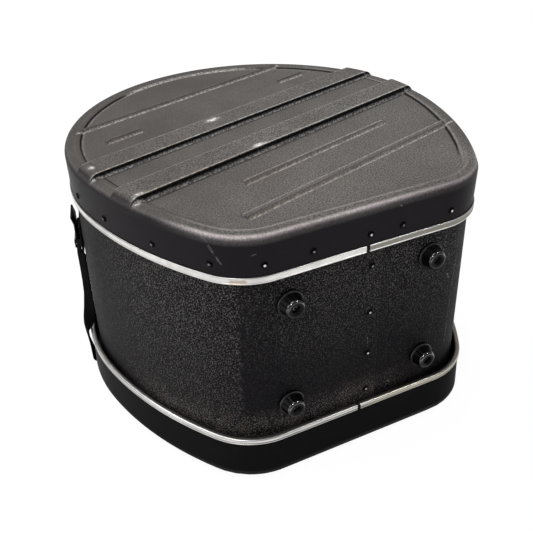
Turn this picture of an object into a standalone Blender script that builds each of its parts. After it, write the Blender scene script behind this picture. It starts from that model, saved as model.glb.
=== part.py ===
"""A D-shaped hard case for one tom drum, standing on its lid, as separate solids in metres.

The plan is a D: a round back, gently curved sides, two tight front corners and a flat front that
carries the feet. The drum's axis is +Z. The lid is at the bottom and the rest lifts off it.
Distances called "off" are measured outwards from the D that the end cap's trim follows.
"""
import math

import bmesh
import bpy
from mathutils import Matrix, Vector

# The D in plan, measured from the centre of its round back
BACK_R = 0.1926
SIDE_R = 0.3455
SIDE_TURN = math.radians(8.1)
CORNER_R = 0.0616
FRONT_Y = -0.1981
ARC_STEPS = (8, 5, 34, 5, 8)

# Gap kept between pieces that touch
FIT = 0.0003

# Heights above the floor
RIB_H = 0.005
LID_RIM_Z = RIB_H
LID_SKIRT_TOP_Z = 0.0490
WALL_BOTTOM_Z = 0.0200
CAP_SKIRT_BOTTOM_Z = 0.2178
WALL_TOP_Z = 0.2500
CAP_RIM_Z = 0.2611

# Formed plastic ends
SKIN_T = 0.0024
CAP_OFF = -0.0013
LID_OFF = 0.0030
SKIRT_FLARE = 0.0010
CAP_EDGE_ROUND = 0.006
LID_EDGE_ROUND = 0.003
RIM_W = 0.015
PANEL_DROP = 0.002
CHANNEL_DROP = 0.0005
RIB_TURN = math.radians(16.5)
WIDE_RIBS = ((0.0157, 0.0416), (-0.0465, -0.0206))
WIDE_RIB_LEAN = 0.0022
RIB_END_INSET = 0.0006
RIB_HALF = 0.22
RIB_ROOT_DEPTH = 0.012
CHANNEL_LAP = 0.005
TROUGH_HALF = 0.150
THIN_RIB_RISE = 0.0008
THIN_RIB_LEAN = 0.0014
ROOT = 0.001
# Thin ribs: front edge, back edge, left end, right end, in the ribs' own directions
THIN_RIBS = (
    (0.1155, 0.1221, -0.1405, 0.1400),
    (0.0747, 0.0818, -0.1293, -0.0886),
    (0.0747, 0.0818, 0.1024, 0.1404),
    (-0.0872, -0.0797, -0.0964, 0.0921),
    (-0.1345, -0.1238, -0.1372, 0.1375),
)

# Wall sheet and its lap on the flat front
WALL_OFF = -0.004
WALL_T = 0.0022
WALL_CORNER_R = 0.075
LAP_EDGE_X = 0.0192
LAP_INNER_X = -0.0030
LAP_BLEND_X = 0.052

# Aluminium trims
TRIM_T = 0.001
CAP_TRIM_H = 0.0065
LID_TRIM_H = 0.0055
TRIM_GAP = 0.0035
CAP_TRIM_GAP_X = 0.0014
LID_TRIM_GAP_X = -0.0030
LID_TRIM_OFF = LID_OFF + FIT + TRIM_T
LID_TRIM_TOP_Z = LID_SKIRT_TOP_Z + FIT + TRIM_T
LID_INNER_LEG_T = 0.0007

# Foam
LINING_T = 0.005
LINING_TOP_Z = 0.243
PAD_T = 0.010
LID_PAD_OFF = -0.0010
LID_PAD_BEVEL = 0.0020
CAP_PAD_OFF = -0.0135

# Rivets and feet
RIVET_HEAD_R = 0.0032
RIVET_HEAD_H = 0.0013
SHANK_R = 0.0016
HOLE_R = 0.0019
CAP_RIVET_Z = 0.2332
CAP_RIVET_OFF = CAP_OFF + 0.4 * SKIRT_FLARE
FRONT_RIVETS = (-0.321, -0.266, -0.200, -0.1405, -0.095, -0.0515, 0.0035, 0.036, 0.087)
BACK_RIVET_COUNT = 12
SEAM_RIVET_X = 0.0087
SEAM_RIVETS_Z = (0.0603, 0.1035, 0.1497, 0.1989)
FEET = ((-0.0724, 0.0790), (0.0702, 0.0790), (-0.0726, 0.1883), (0.0700, 0.1918))
FOOT_FLANGE_R = 0.0125
FOOT_FLANGE_H = 0.0024
FOOT_BODY_R = 0.0112
FOOT_FACE_R = 0.0074
FOOT_SHOULDER = 0.0016
FOOT_H = 0.0130
FOOT_RECESS_R = 0.0045
FOOT_RECESS_H = 0.0055
SCREW_HEAD_R = 0.0038
SCREW_HEAD_H = 0.0021

# Strap and its cam buckles; lifts are measured out from the wall's face
STRAP_W = 0.025
STRAP_T = 0.0016
STRAP_CHANNEL_MID = -0.0025
STRAP_FLOOR_GAP = 0.0030
STRAP_LIFT = 0.0025
STRAP_TRIM_CLEAR = 0.0010
STRAP_BEND_R = 0.0055
STRAP_TOP_Z = 0.1745
BUCKLE_W = 0.033
BUCKLE_T = 0.0012
BUCKLE_LIFT = 0.0009
BUCKLE_BOTTOM_Z = 0.144
BUCKLE_TOP_Z = 0.178
BUCKLE_RIVET_Z = 0.1495
FLAT_HEAD_R = 0.0026
EAR_T = 0.0016
EAR_HALF_L = 0.0045
EAR_LIFT = 0.0082
PIN_Z = 0.1600
PIN_LIFT = 0.0066
PIN_R = 0.0010
CAM_R = 0.0021
LEVER_T = 0.0017
LEVER_TOP_Z = 0.1890
LEVER_LIP = 0.0022
LEVER_LIP_L = 0.0085

# Carry handle at the back
HANDLE_Z = 0.1345
PIVOT_OUT = 0.008
BAIL_R = 0.003
BAIL_HALF = 0.062
BAIL_REACH = 0.034
GRIP_HALF = 0.0275
GRIP_R = 0.0075
EYE_R = 0.0060
EYE_BORE_R = 0.0033
EYE_L = 0.009
PLATE_T = 0.0015
PLATE_W = 0.027
PLATE_L = 0.016
PLATE_RIVET_X = 0.0092

# The D's centre lies this far back of the middle of the whole part
FOOT_TIP_Y = FRONT_Y - WALL_OFF - FIT - FOOT_H
HANDLE_TIP_Y = BACK_R + WALL_OFF + PIVOT_OUT + GRIP_R
CENTRE_Y = -(FOOT_TIP_Y + HANDLE_TIP_Y) / 2


def clear_scene():
    """Remove what the start-up file holds."""
    for obj in list(bpy.data.objects):
        bpy.data.objects.remove(obj, do_unlink=True)


def material(name, colour, roughness, metallic=0.0):
    """A Principled material."""
    mat = bpy.data.materials.new(name)
    mat.use_nodes = True
    shader = mat.node_tree.nodes["Principled BSDF"]
    shader.inputs["Base Color"].default_value = (*colour, 1.0)
    shader.inputs["Roughness"].default_value = roughness
    shader.inputs["Metallic"].default_value = metallic
    return mat


def add_object(name, bm, mat, parent=None, smooth=True):
    """Turn a bmesh into an object, its faces pointing out."""
    bmesh.ops.recalc_face_normals(bm, faces=bm.faces)
    mesh = bpy.data.meshes.new(name)
    bm.to_mesh(mesh)
    bm.free()
    if smooth:
        mesh.shade_smooth()
        mesh.set_sharp_from_angle(angle=math.radians(35))
    obj = bpy.data.objects.new(name, mesh)
    obj.parent = parent
    if mat:
        mesh.materials.append(mat)
    bpy.context.collection.objects.link(obj)
    return obj


def use_tool(target, tool, operation, carrier=None):
    """Join, cut or intersect target with a hidden tool that moves with it, or with another carrier."""
    tool.parent = carrier or target
    tool.hide_render = True
    tool.display_type = "WIRE"
    boolean = target.modifiers.new(tool.name, "BOOLEAN")
    boolean.operation = operation
    boolean.object = tool
    return tool


def outline_arcs(off, corner_r):
    """The D's five arcs as (centre, radius, start, end), anticlockwise from the right front corner."""
    side_x = (BACK_R - SIDE_R) * math.cos(SIDE_TURN)
    side_y = (SIDE_R - BACK_R) * math.sin(SIDE_TURN)
    corner_y = FRONT_Y + corner_r
    reach = SIDE_R - corner_r
    drop = side_y - corner_y
    run = math.sqrt(reach**2 - drop**2)
    corner_x = side_x + run
    meet = math.atan2(drop, run)
    half = math.pi
    return (
        ((corner_x, corner_y), corner_r + off, -half / 2, -meet),
        ((side_x, side_y), SIDE_R + off, -meet, -SIDE_TURN),
        ((0.0, 0.0), BACK_R + off, -SIDE_TURN, half + SIDE_TURN),
        ((-side_x, side_y), SIDE_R + off, half + SIDE_TURN, half + meet),
        ((-corner_x, corner_y), corner_r + off, half + meet, 1.5 * half),
    )


def outline(off, corner_r=CORNER_R, gap_x=None):
    """Points of the D offset by off; with gap_x they start and end at a gap in the flat front."""
    path = []
    for ((cx, cy), radius, start, end), steps in zip(outline_arcs(off, corner_r), ARC_STEPS):
        for i in range(1 if path else 0, steps + 1):
            angle = start + (end - start) * i / steps
            path.append(Vector((cx + radius * math.cos(angle), cy + radius * math.sin(angle))))
    if gap_x is not None:
        front = FRONT_Y - off
        path.insert(0, Vector((gap_x + TRIM_GAP / 2, front)))
        path.append(Vector((gap_x - TRIM_GAP / 2, front)))
    return path


def perimeter(off):
    """Length round the faceted D."""
    path = outline(off)
    return sum((b - a).length for a, b in zip(path, path[1:] + path[:1]))


def station(distance, off):
    """Point and outward direction at a distance round the D from the middle of its flat front."""
    middle = Vector((0.0, FRONT_Y - off))
    walk = [middle, *outline(off), middle]
    left = distance % perimeter(off)
    for a, b in zip(walk, walk[1:]):
        length = (b - a).length
        if left <= length:
            along = (b - a) / length
            return a + along * left, Vector((along.y, -along.x))
        left -= length
    return middle, Vector((0.0, -1.0))


def skin_rings(bm, rings, closed=True):
    """Join each ring of vertices to the next with quads."""
    loops = [[bm.verts.new(co) for co in ring] for ring in rings]
    count = len(loops[0])
    last = count if closed else count - 1
    for lower, upper in zip(loops, loops[1:]):
        for i in range(last):
            j = (i + 1) % count
            bm.faces.new((lower[i], lower[j], upper[j], upper[i]))
    return loops


def stack(name, rings, mat=None, parent=None):
    """A solid skinned over closed rings, with its first and last ring filled."""
    bm = bmesh.new()
    loops = skin_rings(bm, rings)
    bm.faces.new(loops[0])
    bm.faces.new(loops[-1])
    return add_object(name, bm, mat, parent)


def level(path, z):
    """A plan outline at height z."""
    return [(p.x, p.y, z) for p in path]


def band(name, section, mat, parent, gap_x=None, corner_r=CORNER_R):
    """A section of (off, z) corners carried round the D, whole or open at a gap."""
    bm = bmesh.new()
    rings = [level(outline(off, corner_r, gap_x), z) for off, z in section]
    loops = skin_rings(bm, rings + rings[:1], closed=gap_x is None)
    bmesh.ops.remove_doubles(bm, verts=loops[0] + loops[-1], dist=1e-7)
    if gap_x is not None:
        bmesh.ops.holes_fill(bm, edges=bm.edges)
    return add_object(name, bm, mat, parent)


def turned(name, profile, steps, mat=None, parent=None):
    """A profile of (radius, height) turned about Z; it starts and ends on the axis or closes on itself."""
    bm = bmesh.new()
    verts = [bm.verts.new((r, 0.0, z)) for r, z in profile]
    pairs = list(zip(verts, verts[1:]))
    if profile[0][0] > 0:
        pairs.append((verts[-1], verts[0]))
    edges = [bm.edges.new(pair) for pair in pairs]
    bmesh.ops.spin(bm, geom=verts + edges, cent=(0, 0, 0), axis=(0, 0, 1), angle=2 * math.pi, steps=steps)
    bmesh.ops.remove_doubles(bm, verts=bm.verts, dist=1e-6)
    return add_object(name, bm, mat, parent)


def prism(name, corners, start, end, mat=None, parent=None):
    """A polygon of (across, up) corners drawn out along X from start to end."""
    bm = bmesh.new()
    loops = skin_rings(bm, [[(x, a, u) for a, u in corners] for x in (start, end)])
    bm.faces.new(loops[0])
    bm.faces.new(loops[-1])
    return add_object(name, bm, mat, parent, smooth=False)


def face_out(obj, point, normal, z):
    """Stand an object's own +Z along a level outward direction."""
    obj.location = (point.x, point.y, z)
    obj.rotation_euler = normal.to_3d().to_track_quat("Z", "Y").to_euler()
    return obj


def pegs(name, places, radius, inner, outer):
    """One tool made of short level cylinders through (point, normal, z), from inner to outer."""
    bm = bmesh.new()
    for point, normal, z in places:
        way = normal.to_3d()
        turn = way.to_track_quat("Z", "Y").to_matrix().to_4x4()
        middle = Vector((point.x, point.y, z)) + way * (inner + outer) / 2
        bmesh.ops.create_cone(
            bm, cap_ends=True, segments=8, radius1=radius, radius2=radius, depth=outer - inner,
            matrix=Matrix.Translation(middle) @ turn,
        )
    return add_object(name, bm, None)


def rounded_edge(off, top, steps, radius):
    """Rings of a convex edge that turns from a side at off into a level top."""
    rings = []
    for i in range(steps + 1):
        angle = math.pi / 2 * i / steps
        inset = radius * (1 - math.cos(angle))
        rings.append(level(outline(off - inset), top - radius * (1 - math.sin(angle))))
    return rings


def rib_prism(name, front, back, start, end, top, base, spread):
    """A bar along the ribs' direction, from front to back at its top and wider by spread at its base."""
    corners = (
        (front - spread, base), (back + spread, base), (back, top), (front, top),
    )
    rib = prism(name, corners, start, end)
    rib.rotation_euler = (0.0, 0.0, RIB_TURN)
    return rib


def add_wide_ribs(shell, off, edge_round):
    """The two high ribs, their ends rounded over the edge, and the raised channel between them."""
    rim_off = off + SKIRT_FLARE
    channel = rib_prism(
        shell.name + ".channel", WIDE_RIBS[1][1] - CHANNEL_LAP, WIDE_RIBS[0][0] + CHANNEL_LAP,
        -BACK_R, BACK_R, -CHANNEL_DROP, -PANEL_DROP - ROOT, 0.0,
    )
    inset = outline(rim_off - RIM_W / 2)
    limit = stack(shell.name + ".channel_limit", [level(inset, z) for z in (-RIM_W, RIM_W)])
    use_tool(channel, limit, "INTERSECT", carrier=shell)
    use_tool(shell, channel, "UNION")
    for i, (front, back) in enumerate(WIDE_RIBS):
        rib = rib_prism(
            f"{shell.name}.wide_rib_{i}", front, back, -RIB_HALF, RIB_HALF,
            RIB_H + ROOT, -RIB_ROOT_DEPTH, WIDE_RIB_LEAN,
        )
        limit = stack(f"{shell.name}.rib_limit_{i}", [
            level(outline(off - RIB_END_INSET), -RIB_ROOT_DEPTH - ROOT),
            *rounded_edge(rim_off - RIB_END_INSET, RIB_H, 4, edge_round + RIB_H),
        ])
        use_tool(rib, limit, "INTERSECT", carrier=shell)
        use_tool(shell, rib, "UNION")


def add_thin_ribs(shell):
    """The low stiffening ribs, a little above the rim."""
    for i, (front, back, start, end) in enumerate(THIN_RIBS):
        rib = rib_prism(
            f"{shell.name}.thin_rib_{i}", front + THIN_RIB_LEAN, back - THIN_RIB_LEAN, start, end,
            THIN_RIB_RISE, -PANEL_DROP - ROOT, THIN_RIB_LEAN,
        )
        use_tool(shell, rib, "UNION")


def hollow_out(shell, off, skirt_h, edge_round):
    """Cut the inside of a formed end, and a trough under each wide rib."""
    inside = off - SKIN_T
    ceiling = -PANEL_DROP - SKIN_T
    hollow = stack(shell.name + ".hollow", [
        level(outline(inside), -skirt_h - RIM_W),
        level(outline(inside), -skirt_h),
        *rounded_edge(inside + SKIRT_FLARE, ceiling, 2, edge_round - SKIN_T),
    ])
    use_tool(shell, hollow, "DIFFERENCE")
    for i, (front, back) in enumerate(WIDE_RIBS):
        trough = rib_prism(
            f"{shell.name}.trough_{i}", front + SKIN_T, back - SKIN_T, -TROUGH_HALF, TROUGH_HALF,
            RIB_H - SKIN_T, ceiling - ROOT, ROOT,
        )
        use_tool(shell, trough, "DIFFERENCE")


def formed_end(name, off, skirt_h, edge_round, mat, parent):
    """A formed plastic end, its rim at its own z = 0 and its skirt hanging down."""
    panel_off = off + SKIRT_FLARE - RIM_W
    shell = stack(name, [
        level(outline(off), -skirt_h),
        *rounded_edge(off + SKIRT_FLARE, 0.0, 3, edge_round),
        level(outline(panel_off), 0.0),
        level(outline(panel_off - PANEL_DROP), -PANEL_DROP),
    ], mat, parent)
    add_wide_ribs(shell, off, edge_round)
    add_thin_ribs(shell)
    hollow_out(shell, off, skirt_h, edge_round)
    return shell


def lap_contour(off, lap_x, step_side):
    """Wall outline whose flat front steps back by one sheet at lap_x and blends out again."""
    path = outline(off, WALL_CORNER_R)
    front = FRONT_Y - off
    step = [Vector((lap_x, front)), Vector((lap_x, front + WALL_T))]
    if step_side == "inner":
        step.append(Vector((LAP_EDGE_X, front + WALL_T)))
    return path + step + [Vector((LAP_BLEND_X, front))]


def wall_sheet(mat, parent, holes):
    """The wrapped sheet: a D-shaped tube with a lap joint, drilled for its rivets and screws."""
    outer = lap_contour(WALL_OFF, LAP_EDGE_X, "outer")
    inner = lap_contour(WALL_OFF - WALL_T, LAP_INNER_X, "inner")
    wall = stack("wall", [level(outer, WALL_BOTTOM_Z), level(outer, WALL_TOP_Z)], mat, parent)
    core = stack("wall.core", [level(inner, WALL_BOTTOM_Z - 0.01), level(inner, WALL_TOP_Z + 0.01)])
    use_tool(wall, core, "DIFFERENCE")
    use_tool(wall, pegs("wall.holes", holes, HOLE_R, -0.012, 0.004), "DIFFERENCE")
    return wall


def rivet(name, point, normal, z, grip, mat, parent):
    """A blind rivet: domed head and a shank as long as its grip. Its own z = 0 is under the head."""
    head_r, head_h = RIVET_HEAD_R, RIVET_HEAD_H
    profile = (
        (0.0, head_h), (0.55 * head_r, 0.85 * head_h), (head_r, 0.3 * head_h), (head_r, 0.0),
        (SHANK_R, 0.0), (SHANK_R, -grip), (0.0, -grip),
    )
    return face_out(turned(name, profile, 8, mat, parent), point, normal, z)


def cap_rivet_stations():
    """Stations of the skirt rivets: measured ones in front, evenly spaced ones behind."""
    total = perimeter(CAP_RIVET_OFF)
    start, end = FRONT_RIVETS[-1], FRONT_RIVETS[0] + total
    step = (end - start) / (BACK_RIVET_COUNT + 1)
    behind = [start + step * (i + 1) for i in range(BACK_RIVET_COUNT)]
    return list(FRONT_RIVETS) + behind


def depth_to_wall(point, normal):
    """How far the wall's face lies behind a point of the skirt."""
    inward = -normal
    path = outline(WALL_OFF, WALL_CORNER_R)
    depths = []
    for a, b in zip(path, path[1:] + path[:1]):
        edge = b - a
        turn = inward.cross(edge)
        if abs(turn) > 1e-9 and 0 <= (a - point).cross(inward) / turn <= 1:
            depths.append((a - point).cross(edge) / turn)
    return min(depth for depth in depths if depth > 0)


def foot(number, x, z, mats, parent):
    """A rubber foot, a cone on a flange, and the screw at the bottom of its recess."""
    bore = SHANK_R + 2 * FIT
    shelf = FOOT_H - FOOT_RECESS_H
    profile = (
        (FOOT_RECESS_R, shelf), (FOOT_RECESS_R, FOOT_H), (FOOT_FACE_R, FOOT_H),
        (FOOT_FACE_R + FOOT_SHOULDER, FOOT_H - FOOT_SHOULDER), (FOOT_BODY_R, FOOT_FLANGE_H),
        (FOOT_FLANGE_R, FOOT_FLANGE_H), (FOOT_FLANGE_R, 0.0), (bore, 0.0), (bore, shelf),
    )
    point, normal = Vector((x, FRONT_Y - WALL_OFF - FIT)), Vector((0.0, -1.0))
    face_out(turned(f"foot_{number}", profile, 16, mats["rubber"], parent), point, normal, z)
    seat, head_r, head_h = shelf + FIT, SCREW_HEAD_R, SCREW_HEAD_H
    head = (
        (0.0, seat + head_h), (0.6 * head_r, seat + 0.9 * head_h), (head_r, seat + 0.33 * head_h),
        (head_r, seat), (SHANK_R, seat), (SHANK_R, FIT - WALL_T), (0.0, FIT - WALL_T),
    )
    face_out(turned(f"foot_screw_{number}", head, 10, mats["screw"], parent), point, normal, z)


class StrapSide:
    """Places on the strap's plane at one side of the case: out is level, along the strap."""

    def __init__(self, name, sign):
        self.name = name
        turn = -RIB_TURN
        self.out = Vector((math.cos(turn), math.sin(turn))) * sign
        self.across = Vector((-self.out.y, self.out.x))
        middle = Vector((math.sin(RIB_TURN), math.cos(RIB_TURN))) * STRAP_CHANNEL_MID
        self.middle = middle
        self.reach = self.distance_to(0.0)

    def distance_to(self, off):
        """How far out from the channel's middle the offset outline lies."""
        path = outline(off)
        for a, b in zip(path, path[1:] + path[:1]):
            side_a = (a - self.middle).dot(self.across)
            side_b = (b - self.middle).dot(self.across)
            if side_a * side_b <= 0 and (a - self.middle).dot(self.out) > 0:
                t = side_a / (side_a - side_b)
                return (a + (b - a) * t - self.middle).dot(self.out)
        raise ValueError("the strap's plane misses the outline")

    def frame(self):
        """Matrix from (across, up, out) at the wall's face to the case's frame."""
        origin = self.middle + self.out * (self.reach + WALL_OFF)
        return Matrix((
            (self.across.x, 0.0, self.out.x, origin.x),
            (self.across.y, 0.0, self.out.y, origin.y),
            (0.0, 1.0, 0.0, 0.0),
            (0.0, 0.0, 0.0, 1.0),
        ))


def strap_route(side):
    """Middle line of the web from the channel's middle to its free end, as (out, z)."""
    half = STRAP_T / 2
    low = STRAP_FLOOR_GAP + half
    outermost = side.distance_to(LID_TRIM_OFF) + STRAP_TRIM_CLEAR + half
    route = [(0.0, low)]
    steps = 5
    for i in range(steps + 1):
        angle = math.pi / 2 * i / steps
        inset = STRAP_BEND_R * (1 - math.sin(angle))
        route.append((outermost - inset, low + STRAP_BEND_R * (1 - math.cos(angle))))
    at_wall = side.reach + WALL_OFF + STRAP_LIFT + half
    route += [(outermost, LID_TRIM_TOP_Z + 0.001), (at_wall, BUCKLE_BOTTOM_Z - 0.004), (at_wall, STRAP_TOP_Z)]
    return route


def drill(name, point, low, high):
    """A vertical drill for a rivet's hole."""
    bm = bmesh.new()
    bmesh.ops.create_cone(
        bm, cap_ends=True, segments=8, radius1=HOLE_R, radius2=HOLE_R, depth=high - low,
        matrix=Matrix.Translation((point.x, point.y, (low + high) / 2)),
    )
    return add_object(name, bm, None)


def strap(mats, parent, sides):
    """The web that runs under the lid in its channel and up both sides, and its rivet."""
    left, right = sides
    line = [(-out, z) for out, z in reversed(strap_route(left)[1:])] + strap_route(right)
    points = [Vector(p) for p in line]
    rings = []
    for i, point in enumerate(points):
        before = (point - points[max(i - 1, 0)]).normalized()
        after = (points[min(i + 1, len(points) - 1)] - point).normalized()
        along = (before + after).normalized()
        stretch = along.dot(after if i == 0 else before)
        normal = Vector((-along.y, along.x)) * STRAP_T / 2 / stretch
        ring = []
        for face, edge in ((1, 1), (-1, 1), (-1, -1), (1, -1)):
            out, z = point + normal * face
            plan = right.middle + right.out * out + right.across * edge * STRAP_W / 2
            ring.append((plan.x, plan.y, z))
        rings.append(ring)
    web = stack("strap", rings, mats["web"], parent)
    use_tool(web, drill("strap.hole", right.middle, 0.0, 0.02), "DIFFERENCE")

    head_r, head_h, grip = RIVET_HEAD_R, RIVET_HEAD_H, 0.0045
    fixing = turned("strap_rivet", (
        (0, head_h), (0.9 * head_r, 0.5 * head_h), (head_r, 0.0),
        (SHANK_R, 0.0), (SHANK_R, -grip), (0, -grip),
    ), 8, mats["rivet"], parent)
    fixing.rotation_euler = (math.pi, 0.0, 0.0)
    fixing.location = (right.middle.x, right.middle.y, STRAP_FLOOR_GAP - FIT)


def box(name, low, high, mat=None, parent=None):
    """A plain box between two corners."""
    size = Vector(high) - Vector(low)
    middle = (Vector(high) + Vector(low)) / 2
    bm = bmesh.new()
    bmesh.ops.create_cube(bm, size=1.0, matrix=Matrix.Translation(middle) @ Matrix.Diagonal((*size, 1.0)))
    return add_object(name, bm, mat, parent, smooth=False)


def rod(name, radius, half, steps, axis, mat=None, parent=None):
    """A cylinder about its own middle, along one of the axes x and z."""
    bm = bmesh.new()
    bmesh.ops.create_cone(bm, cap_ends=True, segments=steps, radius1=radius, radius2=radius, depth=2 * half)
    bar = add_object(name, bm, mat, parent)
    if axis == "x":
        bar.rotation_euler = (0.0, math.pi / 2, 0.0)
    return bar


def empty(name, parent, matrix):
    """A carrier for pieces that share a place."""
    carrier = bpy.data.objects.new(name, None)
    bpy.context.collection.objects.link(carrier)
    carrier.parent = parent
    carrier.matrix_local = matrix
    return carrier


def buckle_plate(side, mat, base):
    """Plate with two ears for the hinge pin and a sunk seat for its rivet."""
    half = BUCKLE_W / 2
    top = BUCKLE_LIFT + BUCKLE_T
    plate = box("buckle_plate_" + side.name, (-half, BUCKLE_BOTTOM_Z, BUCKLE_LIFT),
                (half, BUCKLE_TOP_Z, top), mat, base)
    for i, (low_x, high_x) in enumerate(((-half, EAR_T - half), (half - EAR_T, half))):
        ear = box(f"{plate.name}.ear_{i}", (low_x, PIN_Z - EAR_HALF_L, BUCKLE_LIFT + BUCKLE_T / 2),
                  (high_x, PIN_Z + EAR_HALF_L, EAR_LIFT))
        use_tool(plate, ear, "UNION")
    seat = BUCKLE_LIFT + 0.0004
    sink_r, reach = FLAT_HEAD_R + FIT, 0.01
    sink = turned(plate.name + ".rivet_seat", (
        (0, reach), (sink_r, reach), (sink_r, seat), (HOLE_R, seat), (HOLE_R, -reach), (0, -reach),
    ), 8)
    sink.location = (0.0, BUCKLE_RIVET_Z, 0.0)
    use_tool(plate, sink, "DIFFERENCE")
    bore = rod(plate.name + ".pin_hole", PIN_R + 0.0002, BUCKLE_W, 10, "x")
    bore.location = (0.0, PIN_Z, PIN_LIFT)
    use_tool(plate, bore, "DIFFERENCE")


def buckle(side, mats, parent):
    """Plate, rivet, hinge pin and cam lever, built as (across, up, out) from the wall's face."""
    base = empty("buckle_base_" + side.name, parent, side.frame())
    buckle_plate(side, mats["buckle"], base)
    head_h, grip = 0.0006, 0.0036
    head_r = FLAT_HEAD_R
    fixing = turned("buckle_rivet_" + side.name, (
        (0, head_h), (head_r, head_h), (head_r, 0.0), (SHANK_R, 0.0), (SHANK_R, -grip), (0, -grip),
    ), 8, mats["rivet"], base)
    fixing.location = (0.0, BUCKLE_RIVET_Z, BUCKLE_LIFT + BUCKLE_T - head_h)

    pin = rod("buckle_pin_" + side.name, PIN_R, BUCKLE_W / 2 - 0.0001, 10, "x", mats["pin"], base)
    pin.location = (0.0, PIN_Z, PIN_LIFT)

    half = BUCKLE_W / 2 - EAR_T - FIT
    inner = 0.0002 - CAM_R
    length = LEVER_TOP_Z - PIN_Z
    cam = [(-CAM_R * math.sin(a), CAM_R * math.cos(a)) for a in (math.pi * i / 6 for i in range(7))]
    lip = length - LEVER_LIP_L
    lever = prism("buckle_lever_" + side.name, (
        *cam, (0.7 * CAM_R, inner), (lip, inner), (length, inner + LEVER_LIP),
        (length, inner + LEVER_LIP + LEVER_T), (lip, inner + LEVER_T), (0.006, inner + LEVER_T),
    ), -half, half, mats["lever"], base)
    lever.location = (0.0, PIN_Z, PIN_LIFT)
    use_tool(lever, rod(lever.name + ".bore", PIN_R + 0.00015, BUCKLE_W, 10, "x"), "DIFFERENCE")


def bail_path():
    """The bail's middle line from one end to the other, in its own (x, 0, z)."""
    small, large = 0.0072, 0.012
    bend_z = EYE_L + FIT - BAIL_HALF + 0.002
    arm_z = bend_z + small
    quarter = [math.pi / 8 * i for i in range(5)]
    path = [(0.0, -BAIL_HALF)]
    path += [(small * (1 - math.cos(a)), bend_z + small * math.sin(a)) for a in quarter]
    path += [(BAIL_REACH - large * (1 - math.sin(a)), arm_z + large * (1 - math.cos(a))) for a in quarter]
    path += [(x, -z) for x, z in reversed(path)]
    return [(x, 0.0, z) for x, z in path]


def bracket(name, z, mat, parent):
    """A riveted plate with a bored eye for one end of the bail; returns its rivets' places."""
    wall_y = BACK_R + WALL_OFF
    top = wall_y + FIT + PLATE_T
    half_w, half_l = PLATE_W / 2, PLATE_L / 2
    plate = box(name, (-half_w, wall_y + FIT, z - half_l), (half_w, top, z + half_l), mat, parent)
    eye = rod(name + ".eye", EYE_R, EYE_L / 2, 16, "z")
    eye.location = (0.0, wall_y + PIVOT_OUT, z)
    use_tool(plate, eye, "UNION")
    neck_top = wall_y + PIVOT_OUT - EYE_BORE_R - 0.001
    neck = box(name + ".neck", (-0.004, top - PLATE_T / 2, z - 0.0035), (0.004, neck_top, z + 0.0035))
    use_tool(plate, neck, "UNION")
    bore = rod(name + ".bore", EYE_BORE_R, EYE_L, 16, "z")
    bore.location = eye.location
    use_tool(plate, bore, "DIFFERENCE")
    places = [(Vector((x, wall_y)), Vector((0.0, 1.0)), z) for x in (-PLATE_RIVET_X, PLATE_RIVET_X)]
    use_tool(plate, pegs(name + ".holes", places, HOLE_R, -0.004, 0.006), "DIFFERENCE")
    return places


def handle(mats, parent):
    """Folding carry handle: steel bail, moulded grip, two brackets; returns its rivets' places."""
    pivot_y = BACK_R + WALL_OFF + PIVOT_OUT
    pivot = empty("handle_pivot", parent, Matrix.Translation((0.0, pivot_y, HANDLE_Z)))
    bail = bpy.data.curves.new("handle_bail", "CURVE")
    bail.dimensions = "3D"
    bail.bevel_depth = BAIL_R
    bail.bevel_resolution = 2
    bail.use_fill_caps = True
    bail.materials.append(mats["steel"])
    path = bail_path()
    spline = bail.splines.new("POLY")
    spline.points.add(len(path) - 1)
    for point, co in zip(spline.points, path):
        point.co = (*co, 1.0)
    bar = bpy.data.objects.new("handle_bail", bail)
    bar.parent = pivot
    bpy.context.collection.objects.link(bar)

    bore, ease = BAIL_R + FIT, 0.003
    grip = turned("handle_grip", (
        (bore, GRIP_HALF), (GRIP_R - 0.002, GRIP_HALF), (GRIP_R, GRIP_HALF - ease),
        (GRIP_R, ease - GRIP_HALF), (GRIP_R - 0.002, -GRIP_HALF), (bore, -GRIP_HALF),
    ), 12, mats["grip"], pivot)
    grip.location = (BAIL_REACH, 0.0, 0.0)

    places = []
    for name, sign in (("lower", -1), ("upper", 1)):
        z = HANDLE_Z + sign * (BAIL_HALF - EYE_L / 2)
        for end, place in zip("ab", bracket("handle_bracket_" + name, z, mats["bracket"], parent)):
            point, normal, _ = place
            seat = point + normal * (2 * FIT + PLATE_T)
            rivet(f"handle_rivet_{name}_{end}", seat, normal, z, PLATE_T + WALL_T, mats["rivet"], parent)
            places.append(place)
    return places


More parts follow.
